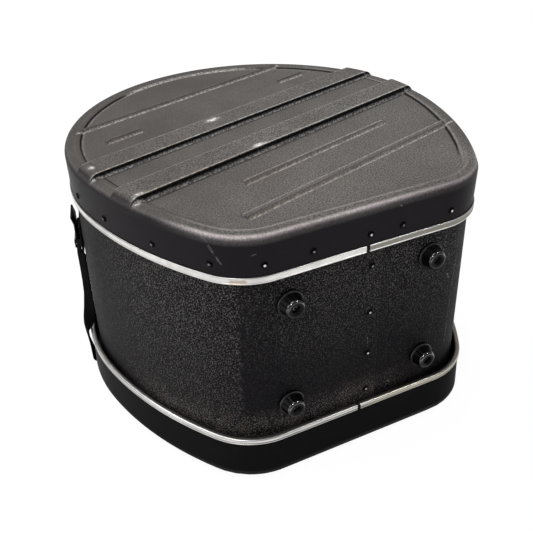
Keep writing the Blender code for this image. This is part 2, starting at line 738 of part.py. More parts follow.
def lid(mats, case, strap_side):
    """The formed end turned over, its wide ribs on the floor, with its edge channel and its pad."""
    shell = formed_end("lid_shell", LID_OFF, LID_SKIRT_TOP_Z - LID_RIM_Z, LID_EDGE_ROUND, mats["abs"], case)
    shell.location = (0.0, 0.0, LID_RIM_Z)
    shell.rotation_euler = (0.0, math.pi, 0.0)
    turned_over = Vector((-strap_side.middle.x, strap_side.middle.y))
    use_tool(shell, drill("lid_shell.strap_hole", turned_over, -0.02, 0.02), "DIFFERENCE")

    outer_leg, inner_leg = LID_OFF + FIT, LID_OFF - SKIN_T - FIT
    inner_face = inner_leg - LID_INNER_LEG_T
    top, ease = LID_TRIM_TOP_Z, 0.0006
    low = top - LID_TRIM_H
    band("lid_trim", (
        (outer_leg, low), (LID_TRIM_OFF, low + ease), (LID_TRIM_OFF, top - 2 * ease),
        (LID_TRIM_OFF - 2 * ease, top), (inner_face + 2 * ease, top), (inner_face, top - 2 * ease),
        (inner_face, low), (inner_leg, low), (inner_leg, top - TRIM_T), (outer_leg, top - TRIM_T),
    ), mats["trim"], case, LID_TRIM_GAP_X)
    pad_bottom = LID_RIM_Z + PANEL_DROP + SKIN_T + FIT
    stack("lid_pad", [
        level(outline(LID_PAD_OFF - LID_PAD_BEVEL), pad_bottom),
        level(outline(LID_PAD_OFF), pad_bottom + LID_PAD_BEVEL),
        level(outline(LID_PAD_OFF), pad_bottom + PAD_T),
    ], mats["foam"], case)


def cap(mats, case, rivet_places):
    """The riveted end cap with its edge trim and its pad."""
    shell = formed_end("end_cap", CAP_OFF, CAP_RIM_Z - CAP_SKIRT_BOTTOM_Z, CAP_EDGE_ROUND, mats["abs"], case)
    shell.location = (0.0, 0.0, CAP_RIM_Z)
    holes = pegs("end_cap.holes", rivet_places, HOLE_R, -0.005, 0.004)
    use_tool(shell, holes, "DIFFERENCE")
    holes.location = (0.0, 0.0, -CAP_RIM_Z)

    bottom, ease = CAP_SKIRT_BOTTOM_Z - FIT - TRIM_T, 0.0004
    top = bottom + CAP_TRIM_H
    leg, edge = CAP_OFF + FIT, CAP_OFF - SKIN_T
    band("end_cap_trim", (
        (edge, bottom), (-ease, bottom), (0.0, bottom + ease), (0.0, top - ease),
        (-ease, top), (leg, top), (leg, bottom + TRIM_T), (edge, bottom + TRIM_T),
    ), mats["trim"], case, CAP_TRIM_GAP_X)
    ceiling = CAP_RIM_Z - PANEL_DROP - SKIN_T - FIT
    stack("end_cap_pad", [level(outline(CAP_PAD_OFF), z) for z in (ceiling - PAD_T, ceiling)],
          mats["foam"], case)


def lining(mat, case):
    """Foam inside the wall."""
    outer = WALL_OFF - 2 * WALL_T - FIT
    inner = outer - LINING_T
    band("wall_lining", (
        (outer, WALL_BOTTOM_Z), (outer, LINING_TOP_Z), (inner, LINING_TOP_Z), (inner, WALL_BOTTOM_Z),
    ), mat, case, corner_r=WALL_CORNER_R)


def materials():
    """One Principled material for each kind of stuff, by a short key."""
    return {
        "abs": material("abs_smooth", (0.024, 0.024, 0.025), 0.5),
        "grain": material("abs_grained", (0.020, 0.020, 0.021), 0.6),
        "trim": material("aluminium_trim", (0.83, 0.82, 0.80), 0.28, 1.0),
        "rubber": material("foot_rubber", (0.015, 0.015, 0.016), 0.25),
        "rivet": material("rivet_black", (0.03, 0.03, 0.03), 0.35, 0.4),
        "screw": material("foot_screw_steel", (0.10, 0.10, 0.10), 0.4, 0.8),
        "web": material("strap_web", (0.008, 0.008, 0.008), 0.85),
        "buckle": material("buckle_plate_black", (0.02, 0.02, 0.02), 0.45, 0.3),
        "lever": material("buckle_lever_plastic", (0.012, 0.012, 0.012), 0.35),
        "pin": material("hinge_pin_steel", (0.35, 0.35, 0.35), 0.35, 1.0),
        "steel": material("bail_steel_black", (0.03, 0.03, 0.03), 0.35, 0.5),
        "grip": material("grip_plastic", (0.018, 0.018, 0.018), 0.45),
        "bracket": material("bracket_black", (0.03, 0.03, 0.03), 0.4, 0.5),
        "foam": material("foam_grey", (0.06, 0.06, 0.065), 0.95),
    }


def build():
    """Make every piece of the case."""
    clear_scene()
    mats = materials()
    case = empty("case_centre", None, Matrix.Translation((0.0, CENTRE_Y, 0.0)))
    sides = (StrapSide("left", -1), StrapSide("right", 1))
    lid(mats, case, sides[1])
    strap(mats, case, sides)

    cap_places = [(*station(distance, CAP_RIVET_OFF), CAP_RIVET_Z) for distance in cap_rivet_stations()]
    for i, (point, normal, z) in enumerate(cap_places):
        grip = depth_to_wall(point, normal) + WALL_T
        rivet(f"cap_rivet_{i + 1:02d}", point + normal * FIT, normal, z, grip, mats["rivet"], case)
    cap(mats, case, cap_places)
    lining(mats["foam"], case)

    front = Vector((0.0, -1.0))
    front_y = FRONT_Y - WALL_OFF
    seam_places = [(Vector((SEAM_RIVET_X, front_y)), front, z) for z in SEAM_RIVETS_Z]
    for i, (point, normal, z) in enumerate(seam_places):
        rivet(f"seam_rivet_{i + 1}", point + normal * FIT, normal, z, 2 * WALL_T, mats["rivet"], case)
    foot_places = [(Vector((x, front_y)), front, z) for x, z in FEET]
    for i, (x, z) in enumerate(FEET):
        foot(i + 1, x, z, mats, case)
    for side in sides:
        buckle(side, mats, case)
    buckle_places = [
        (side.middle + side.out * (side.reach + WALL_OFF), side.out, BUCKLE_RIVET_Z) for side in sides
    ]
    handle_places = handle(mats, case)
    wall_sheet(mats["grain"], case, cap_places + seam_places + foot_places + buckle_places + handle_places)


build()
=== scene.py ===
# %% [markdown]
# # A drum case, piece by piece
#
# This lesson dresses a D-shaped hard case for one tom drum. The case stands on its pull-off lid, and the
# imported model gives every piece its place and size. Each section below takes one piece or one finish, says
# what it is on the real case, and builds it as a maker would think of it.

import math

import bmesh
import bpy
import numpy as np
from mathutils import Matrix, Vector


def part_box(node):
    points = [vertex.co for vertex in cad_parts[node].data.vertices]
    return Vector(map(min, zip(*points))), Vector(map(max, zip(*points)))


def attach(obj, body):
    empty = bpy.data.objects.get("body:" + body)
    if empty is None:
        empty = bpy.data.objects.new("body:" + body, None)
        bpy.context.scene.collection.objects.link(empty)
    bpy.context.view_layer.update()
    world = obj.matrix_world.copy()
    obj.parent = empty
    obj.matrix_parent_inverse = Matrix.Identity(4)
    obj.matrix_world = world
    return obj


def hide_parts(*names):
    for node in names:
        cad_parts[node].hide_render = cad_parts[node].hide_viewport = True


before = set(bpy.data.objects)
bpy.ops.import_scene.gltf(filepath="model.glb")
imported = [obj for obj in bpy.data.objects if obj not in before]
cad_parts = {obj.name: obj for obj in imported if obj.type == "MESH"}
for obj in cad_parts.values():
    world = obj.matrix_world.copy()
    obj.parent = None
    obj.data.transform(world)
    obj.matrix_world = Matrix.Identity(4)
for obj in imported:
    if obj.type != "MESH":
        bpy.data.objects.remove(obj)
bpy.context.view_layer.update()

# %% [markdown]
# ## Where the camera stood
#
# The photograph was taken from above the front left foot. Its position and tilt were solved from the round
# outline and the upright edges of the case. The camera is made from three directions at right angles, because
# a matrix of right, up and backward vectors can hold the slight roll that aiming at a point would lose.

# %% Camera
CAMERA_AT = Vector((-0.32879, -0.67084, 0.57004))
CAMERA_AIM = Vector((0.373136, 0.756117, -0.537639))
CAMERA_ROLL = math.radians(-1.7022)
FOCAL_PIXELS, IMAGE_PIXELS, SENSOR_MM = 797.45, 533, 36.0

aim = CAMERA_AIM.normalized()
level_right = aim.cross(Vector((0, 0, 1))).normalized()
level_up = level_right.cross(aim)
right = level_right * math.cos(CAMERA_ROLL) + level_up * math.sin(CAMERA_ROLL)
up = right.cross(aim)
camera_data = bpy.data.cameras.new("camera")
camera_data.sensor_width = SENSOR_MM
camera_data.lens = SENSOR_MM * FOCAL_PIXELS / IMAGE_PIXELS
camera = bpy.data.objects.new("camera", camera_data)
camera.matrix_world = Matrix.Translation(CAMERA_AT) @ Matrix((right, up, -aim)).transposed().to_4x4()
bpy.context.collection.objects.link(camera)
bpy.context.scene.camera = camera
print("lens", round(camera_data.lens, 2), "mm")

# %% [markdown]
# ## Writing materials as sums
#
# A finish is easier to read as arithmetic than as boxes and lines. Wire wraps one output of a node, and its
# operators add Math nodes. Finish is one material: its node method adds any other node, mix blends two
# colours, and ramp turns a range of values into a soft mask.


# %% Shader helpers
class Wire:
    """One output socket of a finish, with arithmetic."""

    def __init__(self, finish, socket):
        self.finish, self.socket = finish, socket

    def math(self, operation, a, b):
        return self.finish.node("ShaderNodeMath", {"operation": operation}, {0: a, 1: b})

    def __add__(self, other):
        return self.math("ADD", self, other)

    __radd__ = __add__

    def __sub__(self, other):
        return self.math("SUBTRACT", self, other)

    def __rsub__(self, other):
        return self.math("SUBTRACT", other, self)

    def __mul__(self, other):
        return self.math("MULTIPLY", self, other)

    __rmul__ = __mul__

    def power(self, other):
        return self.math("POWER", self, other)

    def over(self, other):
        """The larger of two values."""
        return self.math("MAXIMUM", self, other)

    def under(self, other):
        """The smaller of two values."""
        return self.math("MINIMUM", self, other)


class Finish:
    """A material under construction."""

    def __init__(self, name, **constants):
        self.material = bpy.data.materials.new(name)
        self.material.use_nodes = True
        self.tree = self.material.node_tree
        self.shader = self.tree.nodes["Principled BSDF"]
        for socket, value in constants.items():
            self.set(socket.replace("_", " "), value)
        self.place = self.node("ShaderNodeTexCoord", out="Object")

    def set(self, socket, value):
        self.feed(self.shader.inputs[socket], value)

    def feed(self, socket, value):
        if isinstance(value, Wire):
            self.tree.links.new(value.socket, socket)
        elif socket.type == "RGBA" and len(value) == 3:
            socket.default_value = (*value, 1.0)
        else:
            socket.default_value = value

    def node(self, kind, settings=None, sockets=None, out=0):
        made = self.tree.nodes.new(kind)
        for key, value in (settings or {}).items():
            setattr(made, key, value)
        for key, value in (sockets or {}).items():
            self.feed(made.inputs[key], value)
        return Wire(self, made.outputs[out])

    def noise(self, scale, detail, rough, stretch=(1, 1, 1)):
        """Soft random values, scale features to the metre."""
        at = self.node("ShaderNodeMapping", None, {"Vector": self.place, "Scale": stretch})
        return self.node("ShaderNodeTexNoise", None,
                         {"Vector": at, "Scale": scale, "Detail": detail, "Roughness": rough})

    def cells(self, scale, feature, at=None):
        """Distance from the middle or the border of random cells, shifted where at is given."""
        return self.node("ShaderNodeTexVoronoi", {"feature": feature},
                         {"Vector": at or self.place, "Scale": scale})

    def ramp(self, value, low, high, bottom=0.0, top=1.0):
        """A soft step from bottom to top while value goes from low to high."""
        return self.node("ShaderNodeMapRange", {"interpolation_type": "SMOOTHSTEP"},
                         {"Value": value, "From Min": low, "From Max": high, "To Min": bottom, "To Max": top})

    def mix(self, factor, a, b):
        """Colour a where factor is 0, b where it is 1."""
        return self.node("ShaderNodeMix", {"data_type": "RGBA"}, {0: factor, 6: a, 7: b}, out=2)

    def axis(self, name):
        """One coordinate of the place on the case, in metres."""
        return self.node("ShaderNodeSeparateXYZ", None, {0: self.place}, out=name)

    def facing(self, name):
        """How far the surface faces along one axis, -1 to 1."""
        normal = self.node("ShaderNodeNewGeometry", out="Normal")
        return self.node("ShaderNodeSeparateXYZ", None, {0: normal}, out=name)

    def stroke(self, start, end, width):
        """A soft line drawn on the front between two places (x, z)."""
        (x0, z0), (x1, z1) = start, end
        x, z = self.axis("X") - x0, self.axis("Z") - z0
        run, rise = x1 - x0, z1 - z0
        along = (x * run + z * rise) * (1.0 / (run**2 + rise**2))
        along = along.over(0.0).under(1.0)
        gap_x, gap_z = x - along * run, z - along * rise
        apart = (gap_x * gap_x + gap_z * gap_z).power(0.5)
        front = self.ramp(self.facing("Y"), -0.35, -0.6)
        return self.ramp(apart, width, 0.3 * width) * front

    def scratched(self, tone, marks, broken, bright):
        """A tone under strokes given as (start, end, width, strength), broken up by a mask."""
        for start, end, width, strength in marks:
            tone = self.mix(self.stroke(start, end, width) * broken * strength, tone, bright)
        return tone

    def painted(self, name):
        """A value that the mesh carries at each point."""
        return self.node("ShaderNodeAttribute", {"attribute_name": name}, out="Fac")

    def bump(self, height, depth, strength):
        """A normal from a height, depth metres high where height is 1."""
        return self.node("ShaderNodeBump", None, {"Height": height, "Distance": depth, "Strength": strength})


print("shader helpers ready")

# %% [markdown]
# ## The D in plan
#
# Seen from above, the case is a D made of five arcs and a straight front: a round back, two gently curved
# sides and two tight corners that meet the flat side with the feet. Every large piece follows this outline at
# its own distance, so one function gives them all. The arcs are sampled finely here, for smooth edges.

# %% Outline
CENTRE_Y = 0.00165
BACK_R, SIDE_R, SIDE_TURN = 0.1926, 0.3455, math.radians(8.1)
CORNER_R, FRONT_Y, FLAT_MARGIN = 0.0616, -0.1981, 0.003
RIB_TURN = math.radians(16.5)
ALONG_RIBS = np.array((math.cos(RIB_TURN), math.sin(RIB_TURN)))
ACROSS_RIBS = np.array((-math.sin(RIB_TURN), math.cos(RIB_TURN)))


def d_arcs(corner_r=CORNER_R):
    """The arcs as (centre, radius, start, end), anticlockwise from the right front corner."""
    side = np.array(((BACK_R - SIDE_R) * math.cos(SIDE_TURN), (SIDE_R - BACK_R) * math.sin(SIDE_TURN)))
    corner_y = FRONT_Y + corner_r
    reach, drop = SIDE_R - corner_r, side[1] - corner_y
    run = math.sqrt(reach**2 - drop**2)
    meet = math.atan2(drop, run)
    corner = np.array((side[0] + run, corner_y))
    flip = np.array((-1, 1))
    return (
        (corner, corner_r, -math.pi / 2, -meet),
        (side, SIDE_R, -meet, -SIDE_TURN),
        (np.zeros(2), BACK_R, -SIDE_TURN, math.pi + SIDE_TURN),
        (side * flip, SIDE_R, math.pi + SIDE_TURN, math.pi + meet),
        (corner * flip, corner_r, math.pi + meet, 1.5 * math.pi),
    )


def d_outline(off, corner_r=CORNER_R, spacing=0.004):
    """Points of the D at a distance outside its base outline, and the outward direction at each."""
    points, outward = [], []
    for centre, radius, start, end in d_arcs(corner_r):
        steps = max(6, round(radius * (end - start) / spacing))
        for angle in np.linspace(start, end, steps + 1)[1 if points else 0:]:
            direction = np.array((math.cos(angle), math.sin(angle)))
            points.append(centre + direction * (radius + off))
            outward.append(direction)
    return np.array(points), np.array(outward)


def flat_half(corner_r=CORNER_R):
    """Half the length of the straight front, less a margin at its end."""
    return d_arcs(corner_r)[0][0][0] - FLAT_MARGIN


def out_of_plan(points):
    """How far outside the base D points lie, and the outward direction at each."""
    points = np.atleast_2d(points)
    over_front = abs(points[:, 0]) <= d_arcs()[0][0][0]
    distance = np.where(over_front, FRONT_Y - points[:, 1], -np.inf)
    direction = np.tile((0.0, -1.0), (len(points), 1))
    for centre, radius, start, end in d_arcs():
        reach = points - centre
        length = np.linalg.norm(reach, axis=1)
        turn = (np.arctan2(reach[:, 1], reach[:, 0]) - start) % (2 * math.pi)
        nearer = (turn <= end - start + 1e-6) & (length - radius > distance)
        distance = np.where(nearer, length - radius, distance)
        direction[nearer] = (reach / length[:, None])[nearer]
    return distance, direction


print("outline of", len(d_outline(0.0)[0]), "points")

# %% [markdown]
# ## Turning points into pieces
#
# Each piece is a mesh written point by point. add_piece shifts the points onto the case's own centre and
# makes the mesh. dress shades a mesh smooth except at sharp edges, makes the object and hands it to the body
# that carries it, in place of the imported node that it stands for. A value such as wear can ride on the points
# for the finish to read.


# %% Piece helpers
def dress(mesh, finish, body, node, sharp):
    """A piece with a mesh and a finish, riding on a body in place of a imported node."""
    mesh.shade_smooth()
    mesh.set_sharp_from_angle(angle=math.radians(sharp))
    mesh.materials.clear()
    mesh.materials.append(finish.material)
    piece = bpy.data.objects.new(mesh.name, mesh)
    bpy.context.collection.objects.link(piece)
    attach(piece, body)
    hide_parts(node)
    return piece


def add_piece(name, points, faces, finish, body, node, centred=True, sharp=35, painted=None):
    """A piece made of points and faces, with values painted on its points."""
    mesh = bpy.data.meshes.new(name)
    points = np.asarray(points, float).reshape(-1, 3) + (0.0, CENTRE_Y if centred else 0.0, 0.0)
    mesh.from_pydata(points.tolist(), [], faces)
    for key, values in (painted or {}).items():
        mesh.attributes.new(key, "FLOAT", "POINT").data.foreach_set("value", np.asarray(values, np.float32))
    shape = bmesh.new()
    shape.from_mesh(mesh)
    bmesh.ops.recalc_face_normals(shape, faces=shape.faces)
    shape.to_mesh(mesh)
    shape.free()
    return dress(mesh, finish, body, node, sharp)


def skin(rings, closed=True, around=False):
    """Points and quads over rings of points; around joins the last ring to the first."""
    rings = [np.asarray(ring, float) for ring in rings]
    count = len(rings[0])
    faces = []
    for k in range(len(rings) if around else len(rings) - 1):
        a, b = k * count, (k + 1) % len(rings) * count
        for i in range(count if closed else count - 1):
            j = (i + 1) % count
            faces.append((a + i, a + j, b + j, b + i))
    return np.concatenate(rings), faces


def tube(rings):
    """Points and faces of rings joined one after another, with the first and the last filled in."""
    points, faces = skin(rings)
    count = len(rings[0])
    return points, faces + [tuple(range(count)), tuple(range(len(points) - count, len(points)))]


def bar(rows):
    """Points and faces of a bar with closed ends, one row of points for each corner of its section."""
    points, faces = skin(rows, closed=False, around=True)
    count = len(rows[0])
    faces.append(tuple(k * count for k in range(len(rows))))
    faces.append(tuple(k * count + count - 1 for k in range(len(rows) - 1, -1, -1)))
    return points, faces


def raised(plan, z):
    """Plan points lifted to a height."""
    return np.column_stack((plan, np.broadcast_to(z, len(plan))))


def quarter(steps):
    """Angles from 0 to a quarter turn."""
    return np.linspace(0, math.pi / 2, steps)


print("piece helpers ready")

# %% [markdown]
# ## Formed plastic
#
# The end cap and the lid are black plastic sheet, softened by heat and drawn over a mould. Dust and fine
# wear lie on level ground only, so the finish asks which way the surface faces: the skirts and the sides of
# the ribs stay nearly black, and the top turns a speckled warm grey. The mesh carries painted values for the
# rest: painted highlights along the crests and rib feet, painted shade in the grooves and on the steep rib
# flanks, worn edges that also carry a painted highlight, painted glints, the dustier rib tops and the smooth
# rim.

# %% Formed plastic tones
PLASTIC_BLACK, LID_BLACK = (0.0205, 0.0178, 0.0202), (0.0108, 0.0104, 0.0106)
SHADOW_TONE, SMUDGE_TONE = (0.003, 0.003, 0.003), (0.10, 0.095, 0.095)
SCUFF_AND_HIGHLIGHT_TONE, CREST_HIGHLIGHT_TONE = (0.68, 0.61, 0.61), (0.66, 0.63, 0.60)
GLINT_TONE, CREST_HIGHLIGHT_BROWN = (0.80, 0.77, 0.74), (0.60, 0.54, 0.48)
DUST_DARK, DUST_LEFT, DUST_FRONT = (0.046, 0.043, 0.041), (0.160, 0.147, 0.136), (0.235, 0.221, 0.207)
SKIRT_MARKS = (
    ((-0.138, 0.262), (-0.131, 0.246), 0.0012, 0.10), ((-0.131, 0.246), (-0.124, 0.230), 0.0009, 0.18),
    ((-0.1055, 0.2435), (-0.1020, 0.2445), 0.0007, 0.14), ((0.032, 0.2535), (0.033, 0.2525), 0.0008, 0.5),
)


def dust_tone(plastic, patch, rim, raised_top):
    """Speckled dust: lighter and coarser to the front right, coarse on the rib tops, fine on the rim."""
    grain = plastic.ramp(plastic.noise(760.0, 2.0, 0.6), 0.32, 0.68)
    near = plastic.ramp(plastic.axis("X") * 0.6 - plastic.axis("Y") * 0.6 + patch * 0.05, -0.11, 0.12)
    grit = (0.46 + 0.34 * near + 0.55 * raised_top) * (1 - 0.4 * rim)
    lightest = plastic.mix(near, DUST_LEFT, DUST_FRONT)
    return plastic.mix(0.5 + (grain - 0.5) * grit + 0.10 * raised_top - 0.10 * rim, DUST_DARK, lightest)


print("dust from", DUST_DARK, "to", DUST_FRONT)


# %% Formed plastic finish
def formed_plastic(name, dust, black, shine):
    """Black formed sheet: dust on level ground, scuffs, painted highlights on crests, worn edges and glints,
    and painted shade in grooves.
    """
    plastic = Finish(name, Specular_IOR_Level=shine)
    rim, crest_highlight, groove = plastic.painted("rim"), plastic.painted("crest_highlight"), plastic.painted("groove")
    raised_top, wear, glint = plastic.painted("top"), plastic.painted("wear"), plastic.painted("glint")
    level = plastic.ramp(plastic.facing("Z"), 0.60, 0.95).over(plastic.painted("soft"))
    patch = plastic.ramp(plastic.noise(17.0, 4.0, 0.6), 0.30, 0.72)
    dusty = dust_tone(plastic, patch, rim, raised_top)
    tone = plastic.mix(level * dust * (0.84 + 0.16 * patch), black, dusty)
    smudge = plastic.ramp(plastic.noise(45.0, 5.0, 0.7), 0.50, 0.74)
    tone = plastic.mix(smudge * (1 - level) * 0.06, tone, SMUDGE_TONE)
    # painted shade: the grooves, the ring inside the rim and the steep rib flanks are darkened to near black
    tone = plastic.mix(groove, tone, SHADOW_TONE)

    speckle = plastic.ramp(plastic.noise(430.0, 3.0, 0.7), 0.42, 0.62)
    brown = plastic.ramp(plastic.axis("X") + plastic.axis("Y"), -0.03, -0.14)
    # painted highlights: bright speckled lines along the rib crests, the rib feet and the rim
    tone = plastic.mix(crest_highlight * (0.30 + 0.70 * speckle), tone, plastic.mix(brown, CREST_HIGHLIGHT_TONE, CREST_HIGHLIGHT_BROWN))
    fine = plastic.ramp(plastic.noise(620.0, 3.0, 0.7), 0.34, 0.66)
    # the worn front edge: real scuffs together with a painted highlight band along the rolled edge
    worn_and_highlight = wear * (0.55 + 0.45 * fine) * (0.75 + 0.5 * plastic.noise(28.0, 3.0, 0.6))
    tone = plastic.mix(worn_and_highlight.under(1.0), tone, SCUFF_AND_HIGHLIGHT_TONE)
    # painted highlights: the glints
    tone = plastic.mix((glint * (0.35 + 1.3 * speckle)).under(1.0), tone, GLINT_TONE)
    broken = plastic.ramp(plastic.noise(240.0, 2.0, 0.6), 0.44, 0.56)
    plastic.set("Base Color", plastic.scratched(tone, SKIRT_MARKS, broken, SCUFF_AND_HIGHLIGHT_TONE))

    plastic.set("Roughness", 0.40 + 0.18 * level + 0.10 * smudge)
    pebble = plastic.cells(720.0, "SMOOTH_F1")
    plastic.set("Normal", plastic.bump(pebble * (0.12 + 0.88 * level) * (1 - 0.6 * rim), 0.00016, 0.7))
    return plastic


cap_plastic = formed_plastic("formed_plastic_cap", 1.0, PLASTIC_BLACK, 0.04)
lid_plastic = formed_plastic("formed_plastic_lid", 0.5, LID_BLACK, 0.01)
print("formed plastic ready")

# %% [markdown]
# ## The ribbed top as a height
#
# Both ends come off the same mould: a raised rounded rim, a panel 2 mm lower, two wide ribs with a channel
# between them for the web, and five thin stiffening ribs. All of it is one skin, so it is written as one
# height over the plan. Each rib is a soft step across the ribs' slanting direction.

# %% Heights of the formed end
RIM_W, PANEL_DROP, CHANNEL_DROP, RIB_H, SKIRT_FLARE = 0.015, 0.002, 0.0005, 0.005, 0.0010
RIM_FALL, SOFT_FALL, RIM_CROWN, RIM_GROOVE = 0.0013, 0.0034, 0.0007, 0.0004
CROWN_START, CROWN_W, GROOVE_W = 0.0095, 0.0055, 0.0007
WIDE_RIBS = ((0.0157, 0.0416), (-0.0465, -0.0206))
WIDE_FLANK, RIB_END_INSET, CHANNEL_FLANK = 0.0022, 0.0006, 0.001
THIN_RIBS = (
    (0.1155, 0.1221, -0.1405, 0.1400),
    (0.0747, 0.0818, -0.1293, -0.0886),
    (0.0747, 0.0818, 0.1024, 0.1404),
    (-0.0872, -0.0797, -0.0964, 0.0921),
    (-0.1345, -0.1238, -0.1372, 0.1375),
)
THIN_TOP, THIN_FLANK, THIN_END = 0.0008, 0.0018, 0.0015


def soft_step(value, low, high):
    """0 below low, 1 above high, smooth between."""
    t = np.clip((value - low) / (high - low), 0, 1)
    return t * t * (3 - 2 * t)


def soft_line(value, at, width):
    """1 at a place, fading out over width."""
    return np.exp(-((value - at) / width) ** 2)


def plateau(value, rise, fall):
    """1 between two soft steps: up over rise and down over fall, each a (low, high) pair."""
    return soft_step(value, *rise) * (1 - soft_step(value, *fall))


def about(place, reach):
    """The stretch from reach before a place to reach after it."""
    return place - reach, place + reach


def rolled_edge(inset, radius, top):
    """Height of a rounded edge at an inset from its side."""
    inside = np.clip(radius - inset, 0, radius)
    return top - radius + np.sqrt(radius**2 - inside**2)


def rim_height(plan, inset, edge_round):
    """The rim rolls up from the side and falls to the panel: steeply, but softly along the front."""
    front = soft_step(-plan[:, 1], 0.13, 0.17)
    fall = RIM_FALL + SOFT_FALL * front
    crown = RIM_CROWN * np.clip((inset - CROWN_START) / CROWN_W, 0, 1) ** 2
    panel = soft_step(inset, RIM_W, RIM_W + fall)
    groove = RIM_GROOVE * (1 - front) * soft_line(inset, RIM_W + fall, GROOVE_W)
    return rolled_edge(inset, edge_round, 0.0) - crown * (1 - panel) - groove, panel


def end_height(plan, inset, edge_round):
    """Height of the formed end at plan points that lie inset from its outline."""
    across, along = plan @ ACROSS_RIBS, plan @ ALONG_RIBS
    rim, panel = rim_height(plan, inset, edge_round)
    channel = plateau(across, about(WIDE_RIBS[1][1], CHANNEL_FLANK), about(WIDE_RIBS[0][0], CHANNEL_FLANK))
    height = rim - panel * (PANEL_DROP + (CHANNEL_DROP - PANEL_DROP) * channel)
    for low, high, start, end in THIN_RIBS:
        here = plateau(across, (low, low + THIN_FLANK), (high - THIN_FLANK, high))
        here *= plateau(along, about(start, THIN_END), about(end, THIN_END))
        height = height + np.maximum(THIN_TOP - height, 0) * here * (inset > 0.5 * edge_round)
    for low, high in WIDE_RIBS:
        here = plateau(across, (low - WIDE_FLANK, low), (high, high + WIDE_FLANK))
        top = rolled_edge(inset - RIB_END_INSET, edge_round + RIB_H, RIB_H)
        height = height + np.maximum(top - height, 0) * here
    return height


print("rim to rib", 1000 * RIB_H, "mm")

# %% [markdown]
# ## The skin of the formed end
#
# The panel is made of rows that run along the ribs, packed tightly where a rib's side rises, so the rib
# edges come out straight without a dense grid. The rows end on one curve just inside the rim. From that
# closed curve rings step outward over the rim, round the edge, down the skirt and back up inside, so the
# whole end is one closed skin. The finish needs to know where the ribs and the rim are, so a function that
# works out its painted values comes first.

# %% Painted values of the formed end
MARK_NAMES = ("crest_highlight", "groove", "wear", "rim", "soft", "top", "glint")
# Painted glints as (along, across, length, width)
GLINTS = (
    (-0.0317, 0.0350, 0.0065, 0.0028), (-0.0414, -0.0440, 0.0070, 0.0026),
    (-0.1785, 0.0290, 0.0022, 0.0024), (-0.1870, 0.0150, 0.0022, 0.0016),
    (-0.1860, -0.0480, 0.0028, 0.0028), (-0.1790, -0.0430, 0.0045, 0.0012),
)


class Marks(dict):
    """Painted values by name, each kept at its strongest."""

    def lay(self, name, values):
        self[name] = np.maximum(self[name], values)


def mark_wide_ribs(marks, across, inset):
    """Painted highlights on both edges, a painted glint at the foot and painted shade on the flank of each wide
    rib; gives the flanks.
    """
    kept = soft_step(inset, 0.004, 0.009)
    flanks = np.zeros(len(across))
    for low, high in WIDE_RIBS:
        foot = low - WIDE_FLANK
        marks.lay("top", plateau(across, (low - 0.0002, low + 0.0004), (high, high + 0.0005)))
        marks.lay("crest_highlight", kept * 0.75 * soft_line(across, high + 0.0001, 0.0006))
        marks.lay("crest_highlight", kept * soft_line(across, low + 0.0006, 0.0006))
        marks.lay("glint", kept * 0.42 * soft_line(across, foot + 0.0005, 0.0005))
        flank = plateau(across, (foot + 0.0008, foot + 0.0012), about(low, 0.0002))
        # painted shade on the flank and in a line along its foot
        marks.lay("groove", kept * np.maximum(flank, 0.8 * soft_line(across, foot - 0.0009, 0.0006)))
        flanks = np.maximum(flanks, flank)
    return flanks


def mark_thin_ribs(marks, across, along):
    """A painted highlight line near both edges of each thin rib, and painted shade between them and behind."""
    behind = soft_step(across, -0.03, 0.03)
    for low, high, start, end in THIN_RIBS:
        here = plateau(along, about(start, 0.001), about(end, 0.001))
        marks.lay("soft", here * plateau(across, (low - 0.0012, low - 0.0002), (high, high + 0.001)))
        marks.lay("crest_highlight", here * (0.40 - 0.22 * behind) * soft_line(across, high - 0.0024, 0.0011))
        marks.lay("crest_highlight", here * 0.95 * soft_line(across, low + 0.0003, 0.0008))
        shade = soft_line(across, low + 0.0026 + 0.0004 * behind, 0.0009 + 0.0009 * behind)
        marks.lay("groove", here * (0.40 + 0.25 * behind) * shade)
        marks.lay("groove", here * 0.50 * soft_line(across, high + 0.0002, 0.0009))


def mark_rim(marks, x, y, inset):
    """Painted shade in a ring inside the rim, painted highlight lines beside it, and the worn outer edge with a
    painted highlight.
    """
    front, off_ribs = soft_step(-y, 0.12, 0.17), 1 - marks["top"]
    bright_back = plateau(x, (-0.095, -0.075), (0.045, 0.090)) * soft_step(y, 0.10, 0.13)
    ring = (0.85 - 0.35 * soft_step(y, 0.05, 0.12)) * soft_line(inset, RIM_W + 0.0013, 0.0007)
    # painted shade in a dark ring inside the rim, then painted highlight lines beside it
    marks.lay("groove", ring * (1 - 0.8 * front) * (1 - bright_back) * off_ribs)
    marks.lay("crest_highlight", bright_back * soft_line(inset, RIM_W + 0.0010, 0.0013))
    facing_camera, right = soft_step(y - 0.4 * x, 0.02, 0.12), soft_step(x, 0.10, 0.15)
    marks.lay("crest_highlight", 0.30 * facing_camera * soft_line(inset, RIM_W + 0.0030, 0.0008) * off_ribs)
    marks.lay("crest_highlight", 0.45 * right * soft_line(inset, RIM_W - 0.0012, 0.0007) * off_ribs)
    # scuffs along the outer edge together with a painted highlight band, and a fainter painted highlight line
    # further in
    edge = soft_line(inset, 0.0020, 0.0014) + 0.30 * soft_line(inset, 0.0108, 0.0011)
    along_front = front * (1 - 0.55 * soft_step(x, 0.0, 0.10)) * soft_step(x, -0.19, -0.13)
    marks["wear"] = edge * (0.10 + 0.90 * along_front)
    marks["rim"] = (1 - soft_step(inset, RIM_W, RIM_W + 0.0015)) * (1 - 0.7 * front)


